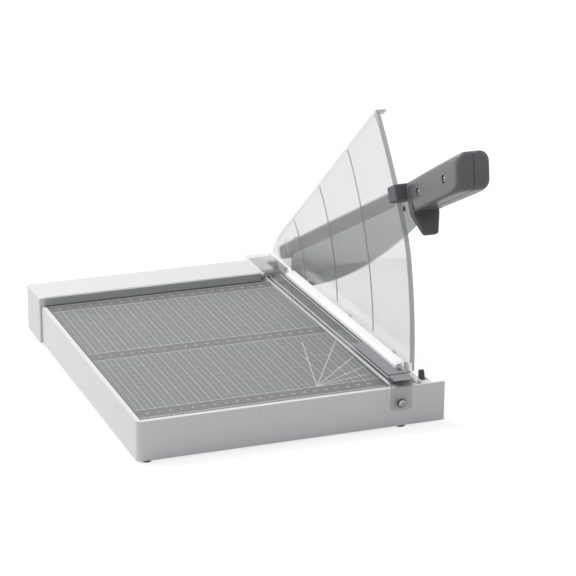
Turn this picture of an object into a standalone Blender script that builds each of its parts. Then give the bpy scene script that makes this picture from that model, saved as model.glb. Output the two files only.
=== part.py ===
"""Guillotine paper cutter: a base with a printed table, a hinged clear clamp that
carries the fan guard, and a crescent blade on a lever arm with a moulded grip.

Metres, +Z up. X runs along the front wall to the right and Y runs to the back.
All pieces are drawn in the base frame, whose origin is the front left corner of
the base walls, with the arm level and the clamp flat on the table. Two empties
then lift the arm and the clamp, and a third one centres the machine on the floor.
"""

import math

import bmesh
import bpy
from mathutils import Matrix, Vector

# General
CLEAR = 0.0003
OVERRUN = 0.002
WELD = 0.000001
ARC_STEPS = 5
ROUND_STEPS = 24
SHARP_ANGLE = math.radians(35)

# Base and table
BASE_WIDTH = 0.254
BASE_DEPTH = 0.3468
BASE_HEIGHT = 0.0357
WALL = 0.002
BASE_CORNER = 0.005
RIM_WIDTH = 0.0043
DECK = 0.002
TABLE_THICKNESS = 0.002
FRONT_WALL_WIDTH = 0.279
RIB_HEIGHT = 0.003
LONG_RIB_HEIGHT = 0.0025
RIB_WIDTH = 0.002
RIB_ROWS = 3
RIB_COLUMNS = 2

# Feet
FOOT_RADIUS = 0.005
FOOT_STAND = 0.002
FOOT_SEAT = 0.0002
FOOT_INSET = 0.0095
FOOT_FRONT_INSET = 0.0056
FOOT_RIGHT_INSET = 0.0145
FOOT_TAPER = 0.0006

# Rear rail, fence and end cap
RAIL_DEPTH = 0.0444
RAIL_TOP = 0.04385
RAIL_END_INSET = 0.0045
RAIL_EDGE = 0.0012
FENCE_THICKNESS = 0.0022
FENCE_END_INSET = 0.035
CAP_PROUD = 0.0021
CAP_CORE = 0.0032
CAP_SKIN = 0.0018
CAP_EDGE = 0.0008
FRONT_RECESS_DEPTH = 0.0068
TABLE_TUCK = 0.0382

# Fixed blade and its screws
FIXED_BLADE_THICKNESS = 0.0027
FIXED_BLADE_HEIGHT = 0.0177
FIXED_BLADE_FRONT = 0.005
FIXED_BLADE_REAR_INSET = 0.0328
FIXED_SCREW_DROP = 0.0095
FIXED_SCREW_COUNT = 4
FIXED_SCREW_INSET = 0.022
SCREW_RADIUS = 0.0015
SCREW_HEAD_RADIUS = 0.0029
SCREW_HEAD_DEPTH = 0.0013

# Stop block and bumper at the front right
BLOCK_GAP = 0.0026
BLOCK_WIDTH = 0.0084
BLOCK_DEPTH = 0.0132
BLOCK_HEIGHT = 0.0205
BLOCK_EDGE = 0.001
BUMPER_INSET = 0.0006
BUMPER_WIDTH = 0.004
BUMPER_DEPTH = 0.0062
BUMPER_HEIGHT = 0.0075
BUMPER_TOP_DEPTH = 0.0034

# Arm pivot, bracket and bolt
PIVOT_INSET = 0.0143
PIVOT_Z = 0.055
ARM_LIFT = math.radians(26.05)
BRACKET_THICKNESS = 0.003
BRACKET_LEG = 0.0027
BRACKET_FLOOR = 0.010
BRACKET_LEG_TOP = 0.032
BRACKET_HALF = 0.015
CHEEK_RADIUS = 0.011
CHEEK_SPACE = 0.0015
BRACKET_SCREW_PITCH = 0.016
BRACKET_SCREW_Z = 0.021
PAN_HEIGHT = 0.0018
BOLT_RADIUS = 0.003
BOLT_HEAD_RADIUS = 0.0057
BOLT_HEAD_DEPTH = 0.0028
BUSH_RADIUS = 0.004
WASHER_RADIUS = 0.0062
WASHER_THICKNESS = 0.0009
SPRING_DISH = 0.0006
NUT_RADIUS = 0.0058
NUT_SIDES = 6
NUT_HEIGHT = 0.0042
BOLT_TAIL = 0.0008

# Arm bar, measured along the arm from the pivot and up from its middle line
BLADE_GAP = 0.0003
BAR_WIDTH = 0.0081
BAR_HALF = 0.0072
BAR_TAIL = 0.024
BAR_TAIL_CORNER = 0.006
BAR_OVERHANG = 0.0055
BAR_ROUND = 0.0036
SEAT_START = 0.033
SEAT_SETBACK = 0.034
SEAT_DROP = 0.0085
TANG_WIDTH = 0.004
TANG_HALF = 0.0055
TANG_DROP = 0.0066
TANG_LENGTH = 0.098

# Moving blade: one large arc for the edge
BLADE_THICKNESS = 0.0018
BLADE_START = 0.014
BLADE_HEEL = 0.030
BLADE_HEEL_DROP = 0.012
BLADE_LOW_AT = 0.140
BLADE_LOW = 0.0474
BLADE_EDGE_RADIUS = 1.056
BLADE_TIP_SETBACK = 0.0127
BLADE_NOSE_SETBACK = 0.0235
BLADE_NOSE_DROP = 0.0186
BLADE_EDGE_STEPS = 28
BLADE_SCREW_COUNT = 5
BLADE_SCREW_INSET = 0.018
BLADE_BEVEL = 0.0012

# Press block beside the bar
PRESS_LEFT_INSET = 0.0136
PRESS_LENGTH = 0.0175
PRESS_LOW = 0.0082
PRESS_HIGH = 0.0058
PRESS_EDGE = 0.0012

# Hand guard between bar and grip
SHIELD_GAP = 0.0005
SHIELD_THICKNESS = 0.0085
SHIELD_TIP_THICKNESS = 0.0042
SHIELD_TOP = 0.0068
SHIELD_WAIST = 0.0222
SHIELD_LOW = 0.0419
SHIELD_SWEEP = 0.0078
SHIELD_TIP_WIDTH = 0.0123
SHIELD_EDGE = 0.0014

# Grip in two half shells
GRIP_WIDTH = 0.024
GRIP_END_WIDTH = 0.030
GRIP_TOP = 0.0064
GRIP_END_TOP = 0.0094
GRIP_BOTTOM = 0.0206
GRIP_END_BOTTOM = 0.0228
GRIP_LENGTH = 0.1147
GRIP_LEAN = 0.010
GRIP_ROUND = 0.0045
GRIP_CORNER = 0.006
GRIP_SCREW_INSETS = (0.0166, 0.0779)
GRIP_SCREW_SINK = 0.0008

# Clamp strip with its hinge tongue and front tab, drawn flat on the table
HINGE_INSET = 0.0168
HINGE_Z = 0.040
CLAMP_LIFT = math.radians(0.75)
CLAMP_LEFT_INSET = 0.0293
CLAMP_THICKNESS = 0.002
CLAMP_FRONT = 0.003
CLAMP_BACK_INSET = 0.0363
TONGUE_LEFT_INSET = 0.0187
TONGUE_RIGHT_INSET = 0.0078
KNUCKLE_RADIUS = 0.003
PIN_RADIUS = 0.0015
PIN_INSET = 0.003
TAB_LEFT_INSET = 0.0278
TAB_RIGHT_INSET = 0.007
TAB_LOW = 0.0113
TAB_CORNER = 0.004
TAB_GAP = 0.001
SLOT_HALF = 0.0019
GUIDE_INSET = 0.0172
GUIDE_Z = 0.0222
GUIDE_HEAD_RADIUS = 0.0034
GUIDE_RING_RADIUS = 0.0042
GUIDE_RING = 0.0008

# Clamp bar, end plugs and press pad
CLAMP_BAR_LEFT_INSET = 0.011
CLAMP_BAR_HEIGHT = 0.0047
CLAMP_BAR_FRONT = 0.0295
CLAMP_BAR_BACK_INSET = 0.0488
CLAMP_BAR_LIP = 0.0014
PLUG_LENGTH = 0.003
PAD_LEFT_INSET = 0.0232
PAD_RIGHT_INSET = 0.0016
PAD_FRONT = 0.0129
PAD_BACK = 0.097
PAD_CORNER = 0.001
PAD_THICKNESS = 0.0008

# Fan guard
GUARD_THICKNESS = 0.0022
GUARD_RIM_WIDTH = 0.0036
GUARD_RIM_DEPTH = 0.0022
GUARD_PRESS_GAP = 0.0035
GUARD_DRAW_IN = 0.0143
GUARD_ROUND_FROM = math.radians(17)
GUARD_TIP_ANGLE = math.radians(40.4)
GUARD_EDGE_STEPS = 16
GUARD_SHOULDER_INSET = 0.0018
GUARD_SHOULDER_Z = 0.0665
GUARD_BACK_REACH = 0.0216
GUARD_TAIL_Z = 0.0402
GUARD_STEP_INSET = 0.0433
GUARD_SEAT_TOP = 0.046
RIB_CENTRE_REACH = 0.0012
RIB_CENTRE_Z = 0.031
RIB_RADII = (0.0745, 0.158, 0.2452)
GUARD_RIB_WIDTH = 0.0016
GUARD_RIB_HEIGHT = 0.0007
RIB_ARC_STEPS = 19
HOOK_REACH = 0.0062
HOOK_LENGTH = 0.006
HOOK_THICKNESS = 0.0022
GUARD_SCREW_Y = (0.060, 0.165, 0.270)
BOSS_RADIUS = 0.0034
BOSS_HEIGHT = 0.0062
BOSS_Y = 0.0215

# Clear hinge cover and the pad under it
COVER_LEFT_INSET = 0.0357
COVER_RIGHT_INSET = 0.0085
COVER_FRONT_INSET = 0.0528
COVER_BACK_REACH = 0.0034
COVER_TOP = 0.0471
COVER_WALL = 0.0016
COVER_CORNER = 0.004
COVER_FRONT_LIP = 0.0028
COVER_BACK_LIP = 0.010
COVER_PAD_LEFT_INSET = 0.0317
COVER_PAD_WIDTH = 0.011
COVER_PAD_FRONT_INSET = 0.0403
COVER_PAD_LENGTH = 0.0375
COVER_PAD_THICKNESS = 0.001
COVER_PAD_CORNER = 0.0025

# Places worked out from the sizes above
FENCE_END = BASE_WIDTH - FENCE_END_INSET
RAIL_END = BASE_WIDTH - RAIL_END_INSET
CLAMP_LEFT = BASE_WIDTH - CLAMP_LEFT_INSET
TONGUE_LEFT = BASE_WIDTH - TONGUE_LEFT_INSET
TONGUE_RIGHT = BASE_WIDTH - TONGUE_RIGHT_INSET
TAB_LEFT = BASE_WIDTH - TAB_LEFT_INSET
TAB_RIGHT = BASE_WIDTH - TAB_RIGHT_INSET
GUIDE_X = BASE_WIDTH - GUIDE_INSET
BAR_LEFT = BASE_WIDTH - CLAMP_BAR_LEFT_INSET
PAD_LEFT = BASE_WIDTH - PAD_LEFT_INSET
PRESS_LEFT = BASE_WIDTH - PRESS_LEFT_INSET
COVER_LEFT = BASE_WIDTH - COVER_LEFT_INSET
COVER_RIGHT = BASE_WIDTH - COVER_RIGHT_INSET
COVER_PAD_LEFT = BASE_WIDTH - COVER_PAD_LEFT_INSET
FIXED_BLADE_REAR = BASE_DEPTH - FIXED_BLADE_REAR_INSET
PIVOT_Y = BASE_DEPTH - PIVOT_INSET
HINGE_Y = BASE_DEPTH - HINGE_INSET
CLAMP_BACK = BASE_DEPTH - CLAMP_BACK_INSET
CLAMP_BAR_BACK = BASE_DEPTH - CLAMP_BAR_BACK_INSET
COVER_FRONT = BASE_DEPTH - COVER_FRONT_INSET
COVER_PAD_FRONT = BASE_DEPTH - COVER_PAD_FRONT_INSET
COVER_BACK = BASE_DEPTH + COVER_BACK_REACH
GUARD_SHOULDER_Y = BASE_DEPTH - GUARD_SHOULDER_INSET
GUARD_STEP_Y = BASE_DEPTH - GUARD_STEP_INSET
GUARD_BACK_Y = BASE_DEPTH + GUARD_BACK_REACH
RIB_CENTRE_Y = BASE_DEPTH + RIB_CENTRE_REACH
BAR_REACH = PIVOT_Y + BAR_OVERHANG
PRESS_START = BAR_REACH - PRESS_LENGTH
SHIELD_START = BAR_REACH + SHIELD_GAP
BLADE_TIP = BAR_REACH - BLADE_TIP_SETBACK
BLADE_NOSE = BAR_REACH - BLADE_NOSE_SETBACK
SEAT_END = BAR_REACH - SEAT_SETBACK
TANG_END = BAR_REACH + TANG_LENGTH
GUARD_RADIUS = PRESS_START - GUARD_PRESS_GAP
GUARD_TIP_RADIUS = GUARD_RADIUS - GUARD_DRAW_IN
CUT_X = BASE_WIDTH + CLEAR + FIXED_BLADE_THICKNESS
TABLE_Z = BASE_HEIGHT
RAIL_FRONT = BASE_DEPTH - RAIL_DEPTH
ARM_LEFT = CUT_X + BLADE_GAP
ARM_RIGHT = ARM_LEFT + BAR_WIDTH
SEAT_X = ARM_LEFT + BLADE_THICKNESS + CLEAR
ARM_MIDDLE = SEAT_X + (ARM_RIGHT - SEAT_X) / 2
CHEEK_X = ARM_RIGHT + CHEEK_SPACE
BLOCK_LEFT = CUT_X + BLOCK_GAP
CLAMP_UNDER = TABLE_Z + CLEAR
CLAMP_TOP = CLAMP_UNDER + CLAMP_THICKNESS
GUARD_RIGHT = CUT_X - CLEAR - CLEAR / 2
GUARD_LEFT = GUARD_RIGHT - GUARD_THICKNESS
CLAMP_RIGHT = GUARD_LEFT - CLEAR
RAIL_FLOOR = TABLE_Z + CLEAR
GRIP_START = SHIELD_START + SHIELD_THICKNESS + CLEAR
GRIP_END = GRIP_START + GRIP_LENGTH
GRIP_SCREW_AT = [GRIP_START + inset for inset in GRIP_SCREW_INSETS]


def clear_scene():
    """Remove every object that the scene holds."""
    for item in list(bpy.data.objects):
        bpy.data.objects.remove(item, do_unlink=True)


clear_scene()
PARTS = bpy.data.collections.new("paper_cutter")
bpy.context.scene.collection.children.link(PARTS)


def finish(name, colour, roughness, metallic=0.0, transmission=0.0):
    """Make a Principled material from an sRGB colour."""
    material = bpy.data.materials.new(name)
    material.use_nodes = True
    shader = material.node_tree.nodes["Principled BSDF"]
    linear = [(channel / 255) ** 2.2 for channel in colour]
    shader.inputs["Base Color"].default_value = (*linear, 1)
    shader.inputs["Roughness"].default_value = roughness
    shader.inputs["Metallic"].default_value = metallic
    shader.inputs["Transmission Weight"].default_value = transmission
    return material


FINISHES = {
    "shell": finish("shell_paint", (222, 223, 226), 0.45),
    "table": finish("table_print", (143, 147, 147), 0.5),
    "rail": finish("rail_paint", (236, 236, 236), 0.4),
    "dark": finish("dark_plastic", (84, 89, 91), 0.5),
    "rubber": finish("black_rubber", (62, 63, 65), 0.7),
    "steel": finish("ground_steel", (160, 164, 162), 0.3, 1.0),
    "zinc": finish("zinc_plate", (178, 180, 182), 0.35, 1.0),
    "bar": finish("grey_enamel", (148, 148, 148), 0.4, 0.4),
    "grip": finish("grip_plastic", (108, 109, 111), 0.45),
    "shield": finish("shield_plastic", (82, 83, 85), 0.45),
    "clear": finish("clear_plastic", (240, 244, 244), 0.06, 0.0, 0.9),
    "white": finish("white_plastic", (240, 240, 242), 0.4),
    "pad": finish("grey_pad", (147, 148, 151), 0.7),
}


def new_object(name, mesh):
    """Put a mesh in the cutter's collection."""
    item = bpy.data.objects.new(name, mesh)
    PARTS.objects.link(item)
    return item


def bake(item):
    """Replace an object's mesh by the one that its modifiers make."""
    bpy.context.view_layer.update()
    graph = bpy.context.evaluated_depsgraph_get()
    mesh = bpy.data.meshes.new_from_object(item.evaluated_get(graph))
    item.modifiers.clear()
    old = item.data
    item.data = mesh
    bpy.data.meshes.remove(old)
    return item


def weld(item):
    """Close the seams of a mesh and turn its faces outwards."""
    work = bmesh.new()
    work.from_mesh(item.data)
    bmesh.ops.remove_doubles(work, verts=work.verts, dist=WELD)
    bmesh.ops.recalc_face_normals(work, faces=work.faces)
    work.to_mesh(item.data)
    work.free()
    return item


def rounded(corners, steps=ARC_STEPS):
    """Outline through corners (u, v, radius), with an arc at each radius."""
    points = []
    for index, (u, v, radius) in enumerate(corners):
        here = Vector((u, v))
        if radius <= 0:
            points.append((u, v))
            continue
        before = Vector(corners[index - 1][:2]) - here
        after = Vector(corners[(index + 1) % len(corners)][:2]) - here
        half = before.angle(after) / 2
        reach = min(radius / math.tan(half), before.length / 2, after.length / 2)
        middle = (before.normalized() + after.normalized()).normalized()
        centre = here + middle * (reach / math.cos(half))
        start = here + before.normalized() * reach - centre
        end = here + after.normalized() * reach - centre
        first = math.atan2(start.y, start.x)
        sweep = (math.atan2(end.y, end.x) - first + math.pi) % math.tau - math.pi
        for step in range(steps + 1):
            angle = first + sweep * step / steps
            points.append((centre.x + start.length * math.cos(angle),
                           centre.y + start.length * math.sin(angle)))
    return points


def rectangle(low, high, radius=0.0):
    """Corners of an upright rectangle between two points."""
    return rounded([(low[0], low[1], radius), (high[0], low[1], radius),
                    (high[0], high[1], radius), (low[0], high[1], radius)])


TURNS = {
    "X": (math.pi / 2, 0, math.pi / 2),
    "Y": (math.pi / 2, 0, 0),
    "Z": (0, 0, 0),
}


def plate(name, outline, low, high, across, edge=0.0):
    """Extrude a flat outline between two heights along one axis.

    Across X the outline is in (y, z), across Y in (x, z), across Z in (x, y).
    """
    curve = bpy.data.curves.new(name, "CURVE")
    curve.dimensions = "2D"
    curve.fill_mode = "BOTH"
    curve.extrude = (high - low) / 2 - edge
    curve.bevel_depth = edge
    curve.bevel_resolution = 2
    curve.offset = -edge
    spline = curve.splines.new("POLY")
    spline.points.add(len(outline) - 1)
    for point, (u, v) in zip(spline.points, outline):
        point.co = (u, v, 0, 1)
    spline.use_cyclic_u = True
    sketch = bpy.data.objects.new(name, curve)
    PARTS.objects.link(sketch)
    sketch.rotation_euler = TURNS[across]
    sketch.location["XYZ".index(across)] = (low + high) / 2
    bpy.context.view_layer.update()
    graph = bpy.context.evaluated_depsgraph_get()
    mesh = bpy.data.meshes.new_from_object(sketch.evaluated_get(graph))
    mesh.transform(sketch.matrix_world)
    bpy.data.objects.remove(sketch, do_unlink=True)
    return weld(new_object(name, mesh))


def box(name, low, high, edge=0.0):
    """Make a box between two corners, with rounded edges where edge is set."""
    work = bmesh.new()
    bmesh.ops.create_cube(work, size=1)
    size = Vector(high) - Vector(low)
    middle = (Vector(high) + Vector(low)) / 2
    bmesh.ops.transform(work, matrix=Matrix.LocRotScale(middle, None, size), verts=work.verts)
    mesh = bpy.data.meshes.new(name)
    work.to_mesh(mesh)
    work.free()
    item = new_object(name, mesh)
    if edge > 0:
        bevel = item.modifiers.new("edges", "BEVEL")
        bevel.width = edge
        bevel.segments = 2
        bake(item)
    return item


def spin(name, profile, across, centre, steps=ROUND_STEPS):
    """Turn a profile of (radius, height) pairs, top to bottom, round an axis."""
    mesh = bpy.data.meshes.new(name)
    points = [(radius, 0, height) for radius, height in profile]
    mesh.from_pydata(points, [(i, i + 1) for i in range(len(points) - 1)], [])
    item = new_object(name, mesh)
    screw = item.modifiers.new("turn", "SCREW")
    screw.steps = steps
    screw.render_steps = steps
    screw.use_merge_vertices = True
    screw.merge_threshold = WELD
    bake(item)
    turn = Matrix.Rotation(math.pi / 2, 4, "Y") if across == "X" else Matrix.Identity(4)
    if across == "Y":
        turn = Matrix.Rotation(-math.pi / 2, 4, "X")
    item.data.transform(Matrix.Translation(centre) @ turn)
    return weld(item)


def rod(name, radius, low, high, across, centre, steps=ROUND_STEPS):
    """Make a plain cylinder between two heights along an axis."""
    return spin(name, [(0, high), (radius, high), (radius, low), (0, low)],
                across, centre, steps)


def combine(target, operation, others):
    """Apply one Boolean operation to the target with each other object."""
    for other in others:
        modifier = target.modifiers.new("boolean", "BOOLEAN")
        modifier.operation = operation
        modifier.solver = "EXACT"
        modifier.object = other
        bake(target)
        bpy.data.objects.remove(other, do_unlink=True)
    return weld(target)


def cut(target, *others):
    """Cut objects away from the target."""
    return combine(target, "DIFFERENCE", others)


def add(target, *others):
    """Fuse objects to the target."""
    return combine(target, "UNION", others)


def keep(target, *others):
    """Keep only what the target shares with the objects."""
    return combine(target, "INTERSECT", others)


def body(name, place, lift=0.0):
    """Make the empty that a rigid body turns about."""
    empty = bpy.data.objects.new(name, None)
    empty.location = place
    empty.rotation_euler = (-lift, 0, 0)
    PARTS.objects.link(empty)
    return empty


FRAME = body("machine_origin", (0, 0, 0))
ARM = body("arm_pivot_axis", (CUT_X, PIVOT_Y, PIVOT_Z), ARM_LIFT)
CLAMP = body("clamp_hinge_axis", (CUT_X, HINGE_Y, HINGE_Z), CLAMP_LIFT)
ARM.parent = FRAME
CLAMP.parent = FRAME


def fit(item, owner, look):
    """Hang a finished piece on its body and give it its finish."""
    item.data.materials.clear()
    item.data.materials.append(FINISHES[look])
    if owner is not FRAME:
        item.data.transform(Matrix.Translation(-owner.location))
    item.parent = owner
    item.data.shade_smooth()
    item.data.set_sharp_from_angle(angle=SHARP_ANGLE)
    return item


def fit_row(name, items, owner, look):
    """Number the copies of a repeated piece and hang each on its body."""
    for number, item in enumerate(items, 1):
        item.name = f"{name}_{number}"
        fit(item, owner, look)


def arm_points(places):
    """Turn (along, up, radius) on the arm into (y, z, radius) in the base frame."""
    return [(PIVOT_Y - along, PIVOT_Z + up, radius) for along, up, radius in places]


def foot_places():
    """Centres of the four feet, the front pair just behind the front wall's face."""
    for x in (FOOT_INSET, BASE_WIDTH - FOOT_RIGHT_INSET):
        for y in (FOOT_FRONT_INSET, BASE_DEPTH - FOOT_INSET):
            yield x, y


def fixed_screw_places():
    """Places of the fixed blade's screws along Y."""
    first = FIXED_BLADE_FRONT + FIXED_SCREW_INSET
    pitch = (FIXED_BLADE_REAR - FIXED_SCREW_INSET - first) / (FIXED_SCREW_COUNT - 1)
    return [first + pitch * index for index in range(FIXED_SCREW_COUNT)]


def bracket_screw_places():
    """Places of the pivot bracket's screws along Y."""
    return [PIVOT_Y - BRACKET_SCREW_PITCH / 2, PIVOT_Y + BRACKET_SCREW_PITCH / 2]


def blade_screw_places():
    """Places of the moving blade's screws along the arm."""
    first = SEAT_START + BLADE_SCREW_INSET
    pitch = (SEAT_END - BLADE_SCREW_INSET - first) / (BLADE_SCREW_COUNT - 1)
    return [first + pitch * index for index in range(BLADE_SCREW_COUNT)]


def base_frame():
    """Moulded base: walls, a recessed deck, foot bosses, ribs and the long front wall."""
    shell = plate("base_frame", rounded([
        (0, 0, BASE_CORNER), (FRONT_WALL_WIDTH, 0, WALL / 3), (FRONT_WALL_WIDTH, WALL, WALL / 3),
        (BASE_WIDTH, WALL, 0), (BASE_WIDTH, BASE_DEPTH, WALL), (0, BASE_DEPTH, BASE_CORNER)]),
        0, BASE_HEIGHT, "Z")
    deck_top = BASE_HEIGHT - TABLE_THICKNESS - CLEAR
    deck_under = deck_top - DECK
    cavity = box("cavity", (WALL, WALL, -OVERRUN),
                 (BASE_WIDTH - WALL, BASE_DEPTH - WALL, deck_under))
    recess = box("recess", (RIM_WIDTH, RIM_WIDTH, deck_top),
                 (BASE_WIDTH + OVERRUN, RAIL_FRONT + TABLE_TUCK, BASE_HEIGHT + OVERRUN))
    cut(shell, cavity, recess)
    extras = []
    for x, y in foot_places():
        extras.append(rod("boss", FOOT_RADIUS, FOOT_SEAT, deck_under + DECK / 2, "Z", (x, y, 0)))
    for row in range(1, RIB_ROWS + 1):
        y = BASE_DEPTH * row / (RIB_ROWS + 1)
        extras.append(box("rib", (WALL / 2, y - RIB_WIDTH / 2, deck_under - RIB_HEIGHT),
                          (BASE_WIDTH - WALL / 2, y + RIB_WIDTH / 2, deck_under + DECK / 2)))
    for column in range(1, RIB_COLUMNS + 1):
        x = BASE_WIDTH * column / (RIB_COLUMNS + 1)
        extras.append(box("rib", (x - RIB_WIDTH / 2, WALL / 2, deck_under - LONG_RIB_HEIGHT),
                          (x + RIB_WIDTH / 2, BASE_DEPTH - WALL / 2, deck_under + DECK / 3)))
    add(shell, *extras)
    holes = [rod("hole", SCREW_RADIUS + CLEAR, BASE_WIDTH - WALL - OVERRUN,
                 BASE_WIDTH + OVERRUN, "X", (0, y, BASE_HEIGHT - FIXED_SCREW_DROP))
             for y in fixed_screw_places()]
    holes += [rod("hole", SCREW_RADIUS + CLEAR, BASE_WIDTH - WALL - OVERRUN,
                  BASE_WIDTH + OVERRUN, "X", (0, y, BRACKET_SCREW_Z))
              for y in bracket_screw_places()]
    holes.append(rod("hole", SCREW_RADIUS + CLEAR, -OVERRUN, WALL + OVERRUN, "Y",
                     (GUIDE_X, 0, GUIDE_Z)))
    return fit(cut(shell, *holes), FRAME, "shell")


def table_plate():
    """Printed steel table in the recess, running back under the rail."""
    low = (RIM_WIDTH + CLEAR, RIM_WIDTH + CLEAR, BASE_HEIGHT - TABLE_THICKNESS)
    high = (BASE_WIDTH - CLEAR, RAIL_FRONT + TABLE_TUCK - CLEAR, BASE_HEIGHT)
    return fit(box("table_plate", low, high), FRAME, "table")


def fixed_blade():
    """Ground bar on the right wall, whose top edge is the lower cutting edge."""
    low = (BASE_WIDTH + CLEAR, FIXED_BLADE_FRONT, BASE_HEIGHT - FIXED_BLADE_HEIGHT)
    blade = box("fixed_blade", low, (CUT_X, FIXED_BLADE_REAR, BASE_HEIGHT))
    for y in fixed_screw_places():
        cut(blade, flat_sink((0, y, BASE_HEIGHT - FIXED_SCREW_DROP), CUT_X, BASE_WIDTH))
    return fit(blade, FRAME, "steel")


def flat_sink(centre, face, back):
    """Cutter for a countersunk hole along X, from its face to its back."""
    wide = SCREW_HEAD_RADIUS + CLEAR
    bore = SCREW_RADIUS + CLEAR
    neck = face - CLEAR - SCREW_HEAD_DEPTH
    return spin("sink", [(0, face + OVERRUN), (wide, face + OVERRUN), (wide, face - CLEAR),
                         (bore, neck), (bore, back - OVERRUN), (0, back - OVERRUN)],
                "X", centre)


def flat_screw(name, across, centre, top, tip, radius=SCREW_RADIUS):
    """Countersunk screw whose flat head ends at top."""
    head = SCREW_HEAD_RADIUS * radius / SCREW_RADIUS
    neck = top - math.copysign(SCREW_HEAD_DEPTH, top - tip)
    profile = [(0, top), (head, top), (radius, neck), (radius, tip), (0, tip)]
    return spin(name, profile if top > tip else profile[::-1], across, centre)


def fixed_blade_screws():
    """Row of countersunk screws that hold the fixed blade."""
    tip = BASE_WIDTH - WALL - OVERRUN
    items = [flat_screw("screw", "X", (0, y, BASE_HEIGHT - FIXED_SCREW_DROP),
                        CUT_X - CLEAR, tip) for y in fixed_screw_places()]
    fit_row("fixed_blade_screw", items, FRAME, "zinc")


def feet():
    """Four tapered rubber feet under the bosses."""
    names = ("foot_left_front", "foot_left_rear", "foot_right_front", "foot_right_rear")
    for name, (x, y) in zip(names, foot_places()):
        profile = [(0, FOOT_SEAT - CLEAR), (FOOT_RADIUS, FOOT_SEAT - CLEAR),
                   (FOOT_RADIUS - FOOT_TAPER, -FOOT_STAND), (0, -FOOT_STAND)]
        fit(spin(name, profile, "Z", (x, y, 0)), FRAME, "rubber")


def back_rail():
    """Rail behind the table, with a recess and a pocket for the clamp's hinge."""
    left = CAP_CORE + CLEAR
    front = RAIL_FRONT + FENCE_THICKNESS + CLEAR
    rail = box("back_rail", (left, front, RAIL_FLOOR), (RAIL_END, BASE_DEPTH, RAIL_TOP),
               RAIL_EDGE)
    recess = box("recess", (FENCE_END, front - OVERRUN, RAIL_FLOOR - OVERRUN),
                 (RAIL_END + OVERRUN, RAIL_FRONT + FENCE_THICKNESS + FRONT_RECESS_DEPTH,
                  RAIL_TOP + OVERRUN))
    pocket = box("pocket", (TONGUE_LEFT - CLEAR, front - OVERRUN, RAIL_FLOOR - OVERRUN),
                 (TONGUE_RIGHT + CLEAR, HINGE_Y + KNUCKLE_RADIUS + CLEAR, RAIL_TOP + OVERRUN))
    pin = rod("pin", PIN_RADIUS + CLEAR, TONGUE_LEFT - PIN_INSET - CLEAR, RAIL_END + OVERRUN,
              "X", (0, HINGE_Y, HINGE_Z))
    return fit(cut(rail, recess, pocket, pin), FRAME, "rail")


def fence_strip():
    """Dark strip on the rail's front, which the paper is squared against."""
    low = (CAP_CORE + CLEAR, RAIL_FRONT, RAIL_FLOOR)
    high = (FENCE_END, RAIL_FRONT + FENCE_THICKNESS, RAIL_TOP - CLEAR)
    return fit(box("fence_strip", low, high, CLEAR), FRAME, "dark")


def rail_end_cap():
    """Moulded cap over the rail's left end, with a skirt down the base's side."""
    outline = rounded([(-CAP_PROUD, 0, 0), (-CLEAR, 0, 0), (-CLEAR, RAIL_FLOOR, 0),
                       (CAP_CORE, RAIL_FLOOR, 0), (CAP_CORE, RAIL_TOP, 0),
                       (-CAP_PROUD, RAIL_TOP, CAP_EDGE)])
    cap = plate("rail_end_cap", outline, RAIL_FRONT, BASE_DEPTH, "Y")
    return fit(cap, FRAME, "rail")


def stop_block():
    """Block behind the long front wall that the arm comes down on."""
    top = BASE_HEIGHT
    block = box("stop_block", (BLOCK_LEFT, WALL + CLEAR, top - BLOCK_HEIGHT),
                (BLOCK_LEFT + BLOCK_WIDTH, WALL + CLEAR + BLOCK_DEPTH, top), BLOCK_EDGE)
    return fit(block, FRAME, "dark")


def stop_bumper():
    """Rubber fin on the stop block, thinner at its top."""
    back = WALL + CLEAR + BLOCK_DEPTH
    low = BASE_HEIGHT + CLEAR
    outline = rounded([(back - BUMPER_DEPTH, low, 0), (back, low, 0),
                       (back, low + BUMPER_HEIGHT, BLOCK_EDGE),
                       (back - BUMPER_TOP_DEPTH, low + BUMPER_HEIGHT, BLOCK_EDGE)])
    left = BLOCK_LEFT + BUMPER_INSET
    return fit(plate("stop_bumper", outline, left, left + BUMPER_WIDTH, "X"), FRAME, "rubber")


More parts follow.
